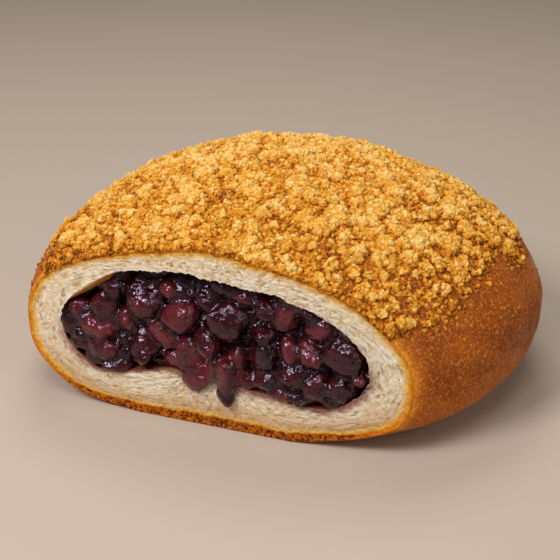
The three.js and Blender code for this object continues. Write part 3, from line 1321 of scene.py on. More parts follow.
@dataclass
class StreuselLayer:
    """The baked layer of streusel: lumps, smaller lumps on them, and grains.

    Its height over the crust sinks below nothing at its ragged edge, so that the
    last lumps stand alone on the crust.
    """

    crown: Crown
    columns: int = 322
    rows: int = 288
    under_rings: int = 5
    edge_height: float = 28.8
    bare_sides: tuple[tuple[float, float, float], ...] = ((-0.38, 0.4, 4.6), (-2.7, 0.3, 3.6))
    ragged: float = 2.3
    edge_waves: tuple[tuple[float, float, float], ...] = ((0.6, 3.0, 0.7), (0.4, 7.0, 2.1))
    edge_noises: tuple[tuple[float, float, int], ...] = ((0.9, 7.0, 60), (0.6, 2.6, 62))
    edge_width: float = 2.2
    edge_drop: float = 1.2
    full_height: float = 40.0
    thins_over: float = 8.0
    thins_by: float = 0.3
    lumps: Packing = Packing(4.7, 2.0, 0.45, 30)
    knobs: Packing = Packing(2.4, 1.2, 0.5, 40)
    grains: Packing = Packing(1.1, 0.6, 0.7, 50)
    bend: float = 0.8
    bend_size: float = 3.0
    thickness: float = 0.85
    thinnest: float = 0.3
    cut_drop: float = 1.5
    kept_at_cut: float = 1.7
    film: float = 0.05
    buried: float = 0.9
    under: float = 2.6
    under_middle: float = 8.0
    draws_each: int = 5
    thins_out: tuple[float, float] = (0.5, 1.7)
    alone_from: tuple[float, float] = (0.6, 1.0)
    alone_fall: float = 1.5
    crumbs_behind: float = 0.02
    bare_from: tuple[float, float] = (0.9, 2.0)
    top_behind: float = 0.12
    widest_share: float = 0.998

    def height(self, point: Array) -> Array:
        """The layer's height over the crust, in millimetres.

        It is a mean thickness with the relief of lumps and knobs, never less than
        the thinnest, then the relief of the grains on it, less a fall-off at the
        border and at the cut.

        Args:
            point: places on the crust.

        Returns:
            Heights, below 0 where the crust is bare.
        """
        bent = point + self.bend * vector_noise(point / self.bend_size, 20)
        level = self.thickness + self.lumps.relief(bent) + self.knobs.relief(bent)
        total = np.maximum(level, self.thinnest) + self.grains.relief(bent)
        return total - self.fall_off(point) - self.cut_off(point)

    def cut_off(self, point: Array) -> Array:
        """How far the cut pulls the layer down, within a millimetre of it."""
        return self.cut_drop * np.clip(1.0 - (point[..., 1] - CUT_Y), 0.0, 1.0)

    def fall_off(self, point: Array) -> Array:
        """How far the border pulls the layer down.

        The border's height is a mean that wanders by waves round the bun and by
        noise, and is raised at the bare sides by a bell curve each. The layer falls
        in step with the depth below it, and is a little thinner low on the crown.

        Args:
            point: places on the crust.

        Returns:
            Heights to take away.
        """
        turn = np.arctan2(point[..., 1], point[..., 0])
        wander = np.zeros(turn.shape)
        for size, lobes, phase in self.edge_waves:
            wander += size * np.sin(lobes * turn + phase)
        for size, length, seed in self.edge_noises:
            wander += size * smooth_noise(point / length, seed)
        border = self.edge_height + self.ragged * wander
        for middle, spread, extra in self.bare_sides:
            border += extra * np.exp(-(((turn - middle) / spread) ** 2))
        height = point[..., 2]
        below = np.clip((border + self.edge_width - height) / self.edge_width, 0.0, 3.0)
        thinner = np.clip((self.full_height - height) / self.thins_over, 0.0, 1.0)
        return self.edge_drop * below + self.thins_by * thinner

    def places(
        self,
        random: np.random.Generator,
        count: int,
        lone: float,
        least: float,
        low: float = 0.3,
        high: float = 1.2,
    ) -> tuple[Array, Array, Array]:
        """Draws places on the crown and keeps those where the layer is.

        Args:
            random: a piece's own draws.
            count: how many places to keep.
            lone: the share kept of those just outside the layer's border. It
                falls away below it.
            least: the share kept where the layer is low.
            low: the layer's height up to which no more than that are kept.
            high: the layer's height from which all are kept.

        Returns:
            Points of the crust, normals, and the layer's height there.
        """
        draws = count * self.draws_each
        reach = self.crown.reach * np.sqrt(random.random(draws))
        turn = random.random(draws) * 2.0 * math.pi
        p = reach * np.cos(turn)
        q = reach * np.sin(turn)
        base = self.crown.surface(p, q)
        height = self.height(base)
        border = self.fall_off(base)
        thick = height + self.kept_at_cut * self.cut_off(base)
        within = 1.0 - ease(border, *self.thins_out)
        wanted = random.random(draws) < np.maximum(ease(thick, low, high), least) * within
        likely = lone * np.exp(-border / self.alone_fall) * ease(border, *self.alone_from)
        alone = random.random(draws) < likely
        kept = (wanted | alone) & (base[:, 1] > CUT_Y + self.crumbs_behind)
        chosen = np.flatnonzero(kept)[:count]
        rise = np.maximum(height[chosen], 0.0)
        return base[chosen], self.crown.normals(p[chosen], q[chosen]), rise

    def build(self, maker: MeshMaker, material: bpy.types.Material) -> bpy.types.Object:
        """Makes the layer: its top as a grid over the map, closed from below.

        Args:
            maker: makes the piece.
            material: its finish.

        Returns:
            The piece.
        """
        p, q = self.map_grid()
        base = self.crown.surface(p, q)
        bare = ease(self.fall_off(base) + self.cut_off(base), *self.bare_from)
        height = np.maximum(self.height(base), self.film * (1.0 - bare) - self.buried * bare)
        top = below_limit(base + self.crown.normals(p, q) * height[..., None])
        _, _, owner = cell_noise(base / self.knobs.size, self.knobs.seed)
        points, faces = self.close(top, p, q)
        below = np.zeros(len(points) - height.size)
        values = {
            "over": np.concatenate([height.ravel(), below]),
            "tone": np.concatenate([owner.ravel(), below]),
        }
        name = "streusel_layer"
        return maker.piece(name, points, faces, material, Slot.BREAD, Node.BUN, values)

    def map_grid(self) -> tuple[Array, Array]:
        """Places of the map in columns across it.

        Each column runs from the cut, or the disc's front border, to its rear
        border.

        Returns:
            The p and q of each row and column.
        """
        p = self.crown.reach * np.linspace(-self.widest_share, self.widest_share, self.columns)
        border = np.sqrt(self.crown.reach**2 - p**2)
        front = np.maximum(self.crown.cut_line(p, self.top_behind), -border)
        share = np.linspace(0.0, 1.0, self.rows)[:, None]
        q = front + (border - front) * share
        return np.broadcast_to(p, q.shape).copy(), q

    def close(self, top: Array, p: Array, q: Array) -> tuple[Array, list[Faces]]:
        """Closes the layer from below by rings that shrink to one place.

        Args:
            top: the upper surface's points, rows by columns by 3.
            p: their places across the map.
            q: their places along the map.

        Returns:
            All points and the faces.
        """
        index = np.arange(p.size).reshape(p.shape)
        sides = [index[0, :-1], index[:-1, -1], index[-1, :0:-1], index[:0:-1, 0]]
        border = np.concatenate(sides)
        quads = np.stack([index[:-1, :-1], index[:-1, 1:], index[1:, 1:], index[1:, :-1]], axis=-1)
        shrink = 1.0 - np.linspace(0.02, 0.9, self.under_rings)[:, None]
        ring_p = p.ravel()[border] * shrink
        ring_q = self.under_middle + (q.ravel()[border] - self.under_middle) * shrink
        rings = self.crown.surface(ring_p, ring_q)
        rings = rings - self.under * self.crown.normals(ring_p, ring_q)
        centre = rings[-1].mean(axis=0, keepdims=True)
        numbers = p.size + np.arange(ring_p.size).reshape(ring_p.shape)
        stack = np.concatenate([border[None, :], numbers])
        turned = np.roll(stack, -1, axis=1)
        strips = np.stack([stack[:-1], stack[1:], turned[1:], turned[:-1]], axis=-1)
        points = np.concatenate([top.reshape(-1, 3), rings.reshape(-1, 3), centre])
        fan = fan_faces(stack[-1][::-1], len(points) - 1)
        return points, [np.concatenate([quads.reshape(-1, 4), strips.reshape(-1, 4)]), fan]


class Roundness(Enum):
    """How many triangles a crumb's ball has."""

    GRAIN = 20
    CRUMB = 48


@dataclass(frozen=True)
class CrumbShape:
    """An uneven ball: stretched, swollen by broad noise, and knobbly."""

    roundness: Roundness
    rough: float
    seed: int
    noise_room: float = 400.0
    least_stretch: float = 0.75
    stretch_range: float = 0.5
    swell: float = 0.8
    swell_scale: float = 1.2
    knob: float = 0.9
    knob_scale: float = 2.1
    knob_middle: float = 0.45

    def balls(self, random: np.random.Generator, count: int) -> tuple[Array, Faces]:
        """Uneven balls of about radius 1, each turned its own way.

        Each takes a place of its own in the noise.

        Args:
            random: the piece's own draws.
            count: how many crumbs.

        Returns:
            Points, crumbs by vertices by 3, and one ball's triangles.
        """
        ball, triangles = unit_ball(self.roundness)
        home = random.random((count, 1, 3)) * self.noise_room
        stretch = self.least_stretch + self.stretch_range * random.random((count, 1, 3))
        swell = self.swell * smooth_noise(ball * self.swell_scale + home, self.seed)
        distance, _, _ = cell_noise(ball * self.knob_scale + home, self.seed + 1)
        reach = 1.0 + self.rough * (swell + self.knob * (self.knob_middle - distance))
        shape = ball * stretch * reach[..., None]
        return np.einsum("nij,nvj->nvi", random_turns(random, count), shape), triangles

    def mesh(
        self,
        random: np.random.Generator,
        base: Array,
        normal: Array,
        centre: Array,
        size: Array,
        tone: Array,
    ) -> tuple[Array, Faces, dict[str, Array]]:
        """Crumbs as one mesh, each moved back where it stands out over the cut.

        Args:
            random: the piece's own draws.
            base: the crust's point under each crumb.
            normal: the crust's normal there.
            centre: the crumbs' middles.
            size: their diameters.
            tone: their tones.

        Returns:
            Points, triangles, and the values that the finish reads.
        """
        shape, triangles = self.balls(random, len(size))
        points = shape * (size[:, None, None] / 2.0) + centre[:, None, :]
        over_cut = CUT_Y - OVERHANG - points[..., 1].min(axis=1)
        points[..., 1] += np.maximum(over_cut, 0.0)[:, None]
        points = below_limit(points)
        over = np.einsum("nvi,ni->nv", points - base[:, None, :], normal)
        offsets = np.arange(len(size))[:, None, None] * shape.shape[1]
        faces = (triangles[None] + offsets).reshape(-1, 3)
        tones = np.broadcast_to(tone[:, None], over.shape)
        return points.reshape(-1, 3), faces, {"over": over.ravel(), "tone": tones.ravel()}


@dataclass(frozen=True)
class LooseCrumbs:
    """One size of crumb, scattered evenly over the layer."""

    name: str
    count: int
    smallest: float
    largest: float
    sunk: float
    lone: float
    least: float
    shape: CrumbShape
    rise_share: float = 0.7
    smaller_alone: float = 0.25
    tone_alone: float = 0.5

    def build(
        self, maker: MeshMaker, material: bpy.types.Material, layer: StreuselLayer
    ) -> list[bpy.types.Object]:
        """Makes the piece. Crumbs that lie alone below the border are smaller.

        Args:
            maker: makes the piece.
            material: its finish.
            layer: the layer that the crumbs lie on.

        Returns:
            The one piece.
        """
        random = np.random.default_rng(self.shape.seed)
        base, normal, rise = layer.places(random, self.count, self.lone, self.least)
        alone = ease(layer.fall_off(base), 1.0, 2.4)
        size = uneven_sizes(random, len(base), self.smallest, self.largest)
        size = size * (1.0 - self.smaller_alone * alone)
        centre = base + normal * (self.rise_share * rise + size * (0.5 - self.sunk))[:, None]
        tone = random.random(len(base)) * (1.0 - alone) + self.tone_alone * alone
        points, faces, values = self.shape.mesh(random, base, normal, centre, size, tone)
        slot, node = Slot.BREAD, Node.BUN
        return [maker.piece(self.name, points, [faces], material, slot, node, values, False)]


@dataclass(frozen=True)
class Lumps:
    """Lumps of streusel: a core each, packed round with grains."""

    count: int = 900
    smallest: float = 2.0
    largest: float = 3.9
    sunk: float = 0.62
    grains: int = 9800
    grain_smallest: float = 0.9
    grain_largest: float = 1.7
    core_share: float = 0.7
    rise_share: float = 0.5
    upward: float = 0.9
    grain_reach: float = 0.35
    grain_spread: float = 0.1
    core: CrumbShape = CrumbShape(Roundness.CRUMB, 0.9, 71)
    grain: CrumbShape = CrumbShape(Roundness.GRAIN, 0.6, 76)

    def build(
        self, maker: MeshMaker, material: bpy.types.Material, layer: StreuselLayer
    ) -> list[bpy.types.Object]:
        """Makes the cores' piece and the grains' piece.

        Lumps are kept where they lie wholly behind the cut, and are no larger than
        the room up to the model's top allows.

        Args:
            maker: makes the pieces.
            material: their finish.
            layer: the layer that the lumps lie on.

        Returns:
            Both pieces.
        """
        random = np.random.default_rng(self.core.seed)
        base, normal, rise = layer.places(random, self.count, 0.0, 0.0, 1.0, 1.6)
        room = HEIGHT_LIMIT - base[:, 2] - rise - self.grain_largest / 2.0
        size = uneven_sizes(random, len(base), self.smallest, self.largest)
        size = np.minimum(size, np.maximum(room / (1.0 - self.sunk), self.grain_largest))
        behind = base[:, 1] - CUT_Y > 0.5 * size
        base, normal, rise, size = base[behind], normal[behind], rise[behind], size[behind]
        centre = base + normal * (self.rise_share * rise + size * (0.5 - self.sunk))[:, None]
        tone = random.random(len(base))
        cores = self.core.mesh(random, base, normal, centre, size * self.core_share, tone)
        grains = self.packed_round(random, base, normal, centre, size, tone)
        slot, node = Slot.BREAD, Node.BUN
        return [
            maker.piece(name, points, [faces], material, slot, node, values, False)
            for name, (points, faces, values) in (("lump_cores", cores), ("lump_grains", grains))
        ]

    def packed_round(
        self,
        random: np.random.Generator,
        base: Array,
        normal: Array,
        centre: Array,
        size: Array,
        tone: Array,
    ) -> tuple[Array, Faces, dict[str, Array]]:
        """Grains all over the lumps, more of them on the larger ones.

        Args:
            random: the lumps' own draws.
            base: the crust's point under each lump.
            normal: the crust's normal there.
            centre: the lumps' middles.
            size: their diameters.
            tone: their tones.

        Returns:
            Points, triangles, and the values that the finish reads.
        """
        owner = random.choice(len(base), self.grains, p=size**2 / np.sum(size**2))
        way = unit(random.normal(size=(self.grains, 3)) + self.upward * normal[owner])
        share = self.grain_reach + self.grain_spread * random.random(self.grains)
        reach = size[owner] * share
        middle = centre[owner] + way * reach[:, None]
        grain_size = uneven_sizes(random, self.grains, self.grain_smallest, self.grain_largest)
        grain_tone = 0.5 * tone[owner] + 0.5 * random.random(self.grains)
        return self.grain.mesh(random, base[owner], normal[owner], middle, grain_size, grain_tone)


def below_limit(points: Array) -> Array:
    """Points with their heights eased down where they near the model's top.

    The room left is taken through a softened maximum with nothing.

    Args:
        points: the points.

    Returns:
        The points, all below the limit.
    """
    room = (HEIGHT_LIMIT - points[..., 2]) / LIMIT_EASE
    eased = HEIGHT_LIMIT - LIMIT_EASE * np.logaddexp(0.0, room)
    return np.concatenate([points[..., :2], eased[..., None]], axis=-1)


def uneven_sizes(random: np.random.Generator, count: int, low: float, high: float) -> Array:
    """Diameters: many small crumbs and few large ones."""
    return low + (high - low) * random.random(count) ** SMALL_OFTENER


def unit_ball(roundness: Roundness) -> tuple[Array, Faces]:
    """A ball of radius 1: a twenty-sided one, or a cube with its sides in four.

    Args:
        roundness: which of the two.

    Returns:
        Its points and its triangles.
    """
    work = bmesh.new()
    if roundness is Roundness.GRAIN:
        bmesh.ops.create_icosphere(work, subdivisions=1, radius=1.0)
    else:
        bmesh.ops.create_cube(work, size=1.0)
        bmesh.ops.subdivide_edges(work, edges=work.edges[:], cuts=1, use_grid_fill=True)
        bmesh.ops.triangulate(work, faces=work.faces[:])
    work.verts.index_update()
    points = np.array([v.co.normalized()[:] for v in work.verts])
    triangles = np.array([[v.index for v in f.verts] for f in work.faces])
    work.free()
    return points, triangles


def random_turns(random: np.random.Generator, count: int) -> Array:
    """Rotation matrices, evenly spread over all turns, from unit quaternions.

    Args:
        random: the piece's own draws.
        count: how many.

    Returns:
        The matrices, count by 3 by 3.
    """
    w, x, y, z = unit(random.normal(size=(count, 4))).T
    rows = [
        [1 - 2 * (y * y + z * z), 2 * (x * y - z * w), 2 * (x * z + y * w)],
        [2 * (x * y + z * w), 1 - 2 * (x * x + z * z), 2 * (y * z - x * w)],
        [2 * (x * z - y * w), 2 * (y * z + x * w), 1 - 2 * (x * x + y * y)],
    ]
    return np.moveaxis(np.array(rows), -1, 0)


def crumb_of(roundness: Roundness, seed: int) -> CrumbShape:
    """A loose crumb's shape: the larger ones are a little rougher."""
    return CrumbShape(roundness, 0.8 if roundness is Roundness.CRUMB else 0.6, seed)


@dataclass
class Streusel:
    """The whole topping: the layer, its lumps, and four sizes of loose crumb."""

    layer: StreuselLayer = field(default_factory=lambda: StreuselLayer(Crown()))
    kinds: tuple[Lumps | LooseCrumbs, ...] = (
        Lumps(),
        LooseCrumbs("loose_crumbs", 2400, 1.2, 2.1, 0.46, 0.12, 0.05, crumb_of(Roundness.CRUMB, 81)),
        LooseCrumbs("small_grains", 9000, 0.9, 1.7, 0.4, 0.18, 0.12, crumb_of(Roundness.GRAIN, 86)),
        LooseCrumbs("fine_grains", 9800, 0.7, 1.3, 0.36, 0.14, 0.4, crumb_of(Roundness.GRAIN, 91)),
        LooseCrumbs("dust_grains", 9800, 0.5, 1.0, 0.34, 0.1, 0.7, crumb_of(Roundness.GRAIN, 96)),
    )
    finish: StreuselFinish = field(default_factory=StreuselFinish)

    def build(self, maker: MeshMaker) -> list[bpy.types.Object]:
        """Makes the layer and the crumbs, in one finish.

        Args:
            maker: makes the pieces.

        Returns:
            The pieces.
        """
        material = self.finish.make()
        pieces = [self.layer.build(maker, material)]
        for kind in self.kinds:
            pieces += kind.build(maker, material, self.layer)
        return pieces


# --- The filling -----------------------------------------------------------

LEAST_SLOPE = 1e-6


@dataclass(frozen=True)
class Bean:
    """A bean, by its middle's place along the cut and its height there.

    Its width and height follow, then how far its nose stands out of the cut, and its
    tilt in the cut's plane.
    """

    x: float
    z: float
    width: float
    height: float
    nose: float
    tilt: float = 0.0


SHOWN_BEANS = (
    Bean(-39.4, 20.4, 8.6, 8.8, 0.7, 0.1),
    Bean(-30.6, 25.6, 8.4, 6.8, 0.8, 0.2),
    Bean(-31.8, 21.2, 11.4, 7.0, 1.5, -0.1),
    Bean(-36.4, 17.0, 7.6, 7.4, 0.8, 0.5),
    Bean(-31.0, 15.6, 10.8, 7.4, 1.3, -0.3),
    Bean(-33.0, 12.4, 7.6, 5.4, 0.6, -0.5),
    Bean(-28.2, 11.2, 7.4, 5.4, 0.8, 0.1),
    Bean(-23.2, 31.6, 7.6, 6.0, -2.6, 0.3),
    Bean(-20.2, 27.0, 7.6, 9.0, 0.6, 0.2),
    Bean(-24.6, 22.6, 5.6, 6.4, -0.6, 0.2),
    Bean(-20.8, 16.6, 8.8, 10.6, 1.2, -0.3),
    Bean(-15.2, 31.2, 5.8, 5.8, -1.2, 0.0),
    Bean(-15.4, 21.0, 9.0, 6.0, 0.9, -0.5),
    Bean(-12.0, 25.4, 9.2, 8.0, 1.5, 0.1),
    Bean(-13.6, 15.2, 6.4, 5.6, 0.6, 0.3),
    Bean(-9.9, 18.4, 6.8, 6.8, 1.2, 0.2),
    Bean(-6.6, 30.0, 7.8, 6.8, -1.6, 0.0),
    Bean(-5.4, 21.0, 5.8, 6.8, 1.4, 0.4),
    Bean(-1.9, 34.6, 7.4, 4.8, -1.4, -0.3),
    Bean(-1.0, 26.6, 9.4, 9.2, 1.7, 0.3),
    Bean(-2.2, 15.4, 8.0, 7.4, 2.0, 0.0),
    Bean(2.0, 18.8, 5.2, 7.4, 1.4, 0.1),
    Bean(3.4, 32.4, 6.8, 5.8, -0.8, 0.2),
    Bean(7.3, 30.8, 7.6, 7.0, 0.2, -0.3),
    Bean(12.0, 29.6, 7.6, 8.0, -0.2, 0.2),
    Bean(17.0, 31.4, 6.0, 5.0, -0.8, -0.5),
    Bean(7.6, 25.2, 6.4, 5.0, 0.6, 0.0),
    Bean(8.2, 20.4, 7.2, 8.2, 1.4, 0.2),
    Bean(13.7, 22.4, 4.6, 7.4, 1.0, 0.1),
    Bean(18.0, 22.2, 6.2, 7.4, 1.2, -0.2),
    Bean(24.8, 22.8, 11.4, 8.6, 1.3, -0.15),
    Bean(19.6, 28.4, 7.8, 6.6, -0.4, -0.3),
    Bean(25.4, 28.2, 5.6, 4.6, -0.4, -0.6),
    Bean(14.2, 15.8, 7.2, 8.0, 1.4, 0.1),
    Bean(19.0, 14.0, 7.2, 7.4, 1.3, 0.0),
    Bean(24.4, 14.8, 8.4, 8.0, 1.3, 0.2),
    Bean(28.8, 18.4, 5.4, 6.4, 0.3, 0.1),
    Bean(8.4, 14.0, 7.4, 6.0, 0.9, 0.1),
    Bean(3.4, 13.6, 6.6, 5.8, 1.0, 0.0),
    Bean(11.6, 11.6, 7.4, 4.6, 0.9, 0.1),
    Bean(17.2, 11.2, 7.0, 4.2, 0.8, 0.0),
    Bean(22.6, 11.4, 6.8, 4.2, 0.7, 0.2),
    Bean(-36.6, 23.4, 7.2, 6.4, 0.6, 0.5),
)
DRIPS = (
    Bean(-8.3, 12.6, 8.8, 9.8, 2.1, 0.1),
    Bean(-0.5, 12.4, 5.6, 9.6, 1.9, 0.0),
    Bean(-0.7, 9.3, 5.4, 5.2, 1.9, 0.0),
)


@dataclass
class FieldState:
    """The fields that beans are joined to, one after another."""

    place: Array
    distance: Array
    tone: Array
    crease: Array
    crease_width: float = 1.6

    def add(self, block: tuple[slice, ...], distance: Array, mark: float, blend: float) -> None:
        """Joins a body's distances in a block of places.

        Where the body is well in front, the crease that was there is covered.

        Args:
            block: the block's slices.
            distance: distances to the body.
            mark: the body's tone.
            blend: how wide the creases are filled.
        """
        before = self.distance[block]
        apart = np.abs(before - distance)
        closeness = np.clip(1.0 - apart / (self.crease_width * blend), 0.0, 1.0)
        kept = np.where(distance < before - blend, 0.0, self.crease[block])
        self.crease[block] = np.maximum(kept, closeness)
        self.tone[block] = np.where(distance < before, mark, self.tone[block])
        self.distance[block] = soft_minimum(before, distance, blend)


@dataclass
class Filling:
    """The beans in their syrup, and the paste behind them."""

    step: float = 0.3
    low: tuple[float, float, float] = (-43.5, -39.2, 4.5)
    high: tuple[float, float, float] = (34.5, -24.5, 39.0)
    gap: float = 0.3
    bean_gap: float = 0.12
    blend: float = 1.0
    depth: float = 8.4
    recess: float = 4.4
    upper_recess: float = 2.4
    upper_from: tuple[float, float] = (27.0, 36.0)
    right_from: tuple[float, float] = (-22.0, 6.0)
    right_share: float = 0.6
    wave: float = 0.7
    wave_size: float = 4.2
    bend: float = 1.15
    bend_size: float = 4.8
    fold: float = 0.42
    fold_size: float = 2.3
    ripple: float = 0.16
    film: float = 0.1
    drip_wrinkle: float = 0.3
    drip_back: float = 0.25
    margin: float = 3.0
    core_front: float = 9.0
    columns: int = 160
    rows: int = 40
    core_tone: float = 0.2
    paste_tone: float = 0.1
    drip_tone: float = 0.75
    least_tone: float = 0.25
    seed: int = 5
    hidden_rows: tuple[tuple[float, float], ...] = (
        (12.5, 2.6), (18.0, 3.0), (23.5, 3.0), (29.0, 3.6), (34.0, 4.6),
    )
    hidden_from: float = -38.0
    hidden_to: float = 31.0
    hidden_apart: float = 5.2
    hidden_spread: tuple[float, float, float] = (0.9, 0.8, 0.5)
    hidden_least: float = 1.2
    hidden_width: float = 7.4
    hidden_height: float = 6.8
    finish: BeanFinish = field(default_factory=BeanFinish)

    def build(self, maker: MeshMaker) -> list[bpy.types.Object]:
        """Makes the beans that show and the core behind them."""
        material = self.finish.make()
        return [self.beans(maker, material), self.core(maker, material)]

    def core(self, maker: MeshMaker, material: bpy.types.Material) -> bpy.types.Object:
        """The paste, from just behind the beans to the rear of the hollow.

        Args:
            maker: makes the piece.
            material: its finish.

        Returns:
            The piece.
        """
        angle = full_circle(self.columns)
        front = CUT_Y + self.core_front
        back = HOLLOW.back() - self.gap
        turn = np.linspace(0.02, 1.0, self.rows)[:, None] * math.pi / 2.0
        y = front + (back - front) * np.cos(turn)
        reach = HOLLOW_WALL.reach(y, angle) - self.gap
        points, faces = closed_tube(loop_points(y, angle, np.maximum(reach, 0.05)))
        values = {"tone": np.full(len(points), self.core_tone)}
        name = "bean_paste"
        return maker.piece(name, points, faces, material, Slot.BEANS, Node.FILLING, values)

    def beans(self, maker: MeshMaker, material: bpy.types.Material) -> bpy.types.Object:
        """The beans, drips and paste at the cut, as one skin round a field.

        Args:
            maker: makes the piece.
            material: its finish.

        Returns:
            The piece.
        """
        axes = [np.arange(a, b, self.step) for a, b in zip(self.low, self.high)]
        place = np.stack(np.meshgrid(*axes, indexing="ij"), axis=-1)
        distance, tone, crease = self.fields(place)
        points, quads = surface_net(distance, np.array(self.low), self.step)
        cell = ((points - np.array(self.low)) / self.step).round().astype(int)
        cell = tuple(np.minimum(cell, np.array(tone.shape) - 1).T)
        values = {"tone": tone[cell], "crease": crease[cell], "behind": points[:, 1] - CUT_Y}
        slot, node = Slot.BEANS, Node.FILLING
        return maker.piece("beans", points, [quads], material, slot, node, values)

    def fields(self, place: Array) -> tuple[Array, Array, Array]:
        """Distance to the filling's surface, negative inside, and what colours it.

        Beans, drips and paste are joined by a soft minimum, so that syrup fills the
        creases. The result is kept inside the hollow, or in front of the bread.

        Args:
            place: points of the field.

        Returns:
            The distances, the beans' tones, and how much of a crease a place is.
        """
        x, y, z = place[..., 0], place[..., 1], place[..., 2]
        random = np.random.default_rng(self.seed)
        upper = ease(z, *self.upper_from) * (1.0 - self.right_share * ease(x, *self.right_from))
        waves = self.wave * smooth_noise(place / self.wave_size, 80)
        paste = CUT_Y + self.recess + waves + self.upper_recess * upper - y
        bent = place + self.bend * vector_noise(place / self.bend_size, 83)
        tone = np.full(x.shape, self.paste_tone)
        state = FieldState(bent, paste, tone, np.zeros(x.shape))
        for bean in self.all_beans(random):
            share = float(random.random())
            self.join(state, bean, self.least_tone + (1.0 - self.least_tone) * share)
        folds = 0.5 - np.abs(smooth_noise(place / self.fold_size, 81))
        wrinkles = self.fold * folds + self.ripple * smooth_noise(place, 82)
        outside = -self.room(place)
        total = np.maximum(state.distance + wrinkles - self.film, outside)
        state.distance = np.full(x.shape, FARTHEST)
        for drip in DRIPS:
            self.join(state, drip, self.drip_tone)
        ahead = np.minimum(y - (CUT_Y - self.drip_back), outside)
        hung = np.maximum(state.distance + self.drip_wrinkle * wrinkles, ahead)
        total = soft_minimum(total, hung, self.blend)
        edges = np.minimum(np.array(self.high) - place, place - np.array(self.low)).min(axis=-1)
        return np.maximum(total, self.step - edges), state.tone, state.crease

    def room(self, place: Array) -> Array:
        """How far places lie inside the hollow, from its axis, slice by slice.

        Args:
            place: points of the field.

        Returns:
            Distances to the wall, less the gap that is left at it.
        """
        angle, radius = about_loop(place[:, 0, :, 0], place[:, 0, :, 2])
        slices = []
        for y in place[0, :, 0, 1]:
            reach = HOLLOW_WALL.reach(np.full(MOUTH.samples, max(y, CUT_Y)), MOUTH.turns)
            reach = np.interp(angle, MOUTH.turns, reach, period=FULL_TURN)
            slices.append(reach - radius - self.bean_gap)
        return np.stack(slices, axis=1)

    def all_beans(self, random: np.random.Generator) -> list[Bean]:
        """The beans that show, and others set back between them in even rows.

        Args:
            random: the filling's own draws.

        Returns:
            The beans.
        """
        between = []
        for z, deepest in self.hidden_rows:
            for x in np.arange(self.hidden_from, self.hidden_to, self.hidden_apart):
                dx, dz, tilt = random.normal(0.0, self.hidden_spread)
                nose = -self.hidden_least - (deepest - self.hidden_least) * random.random()
                size = (self.hidden_width, self.hidden_height)
                between.append(Bean(x + dx, z + dz, *size, nose, tilt))
        return list(SHOWN_BEANS) + between

    def join(self, state: FieldState, bean: Bean, mark: float) -> None:
        """Joins one bean to the fields, in the block of places about it.

        A bean is an ellipsoid, turned in the plane of the cut, whose distance is
        taken as k (k - 1) / g: k is the place's distance from the middle in units
        of the bean's radii, and g is that measure's slope.

        Args:
            state: the fields so far, which are changed.
            bean: the bean.
            mark: the bean's own tone.
        """
        middle = np.array([bean.x, CUT_Y - bean.nose + self.depth / 2.0, bean.z])
        radii = np.array([bean.width, self.depth, bean.height]) / 2.0
        margin = radii.max() + self.margin
        start = np.floor((middle - margin - self.low) / self.step).astype(int)
        stop = np.ceil((middle + margin - self.low) / self.step).astype(int)
        limit = np.array(state.distance.shape)
        start, stop = np.clip(start, 0, limit), np.clip(stop, 0, limit)
        block = tuple(slice(a, b) for a, b in zip(start, stop))
        offset = state.place[block] - middle
        c, s = math.cos(bean.tilt), math.sin(bean.tilt)
        across = c * offset[..., 0] + s * offset[..., 2]
        upward = c * offset[..., 2] - s * offset[..., 0]
        turned = np.stack([across, offset[..., 1], upward], axis=-1)
        near = np.linalg.norm(turned / radii, axis=-1)
        slope = np.linalg.norm(turned / radii**2, axis=-1)
        distance = near * (near - 1.0) / np.maximum(slope, LEAST_SLOPE)
        state.add(block, distance, mark, self.blend)


def soft_minimum(first: Array, second: Array, width: float) -> Array:
    """The lesser of two distances, with the crease between them filled.

    Where they differ by less than the width, a parabola takes a little more away.

    Args:
        first: distances to one body.
        second: distances to another.
        width: how wide the crease is filled.

    Returns:
        Distances to both.
    """
    share = np.clip(1.0 - np.abs(first - second) / width, 0.0, 1.0)
    return np.minimum(first, second) - share * share * width / 4.0


def surface_net(distance: Array, low: Array, step: float) -> tuple[Array, Faces]:
    """A closed skin of quads where a field of distances crosses zero.

    Each cell that the skin passes through gets one vertex, at the mean of the places
    where the field crosses zero on its edges. Each crossed edge of the grid gets one
    quad, between the four cells round it.

    Args:
        distance: the field, negative inside.
        low: the place of its first value.
        step: its spacing.

    Returns:
        Points and quads.
    """
    shape = np.array(distance.shape) - 1
    total = np.zeros((*shape, 3))
    crossings = np.zeros(shape)
    whole = np.indices(shape).transpose(1, 2, 3, 0).astype(float)
    for axis in range(3):
        others = [a for a in range(3) if a != axis]
        for u, v in np.ndindex(2, 2):
            start = [slice(None, -1)] * 3
            start[others[0]] = slice(u, shape[others[0]] + u)
            start[others[1]] = slice(v, shape[others[1]] + v)
            end = list(start)
            end[axis] = slice(1, None)
            first, second = distance[tuple(start)], distance[tuple(end)]
            crossed = (first < 0.0) != (second < 0.0)
            share = np.where(crossed, first / np.where(crossed, first - second, 1.0), 0.0)
            place = whole.copy()
            place[..., others[0]] += u
            place[..., others[1]] += v
            place[..., axis] += share
            total += place * crossed[..., None]
            crossings += crossed
    used = crossings > 0
    number = np.full(shape, -1)
    number[used] = np.arange(used.sum())
    points = low + step * total[used] / crossings[used][:, None]
    return points, net_quads(distance < 0.0, number)


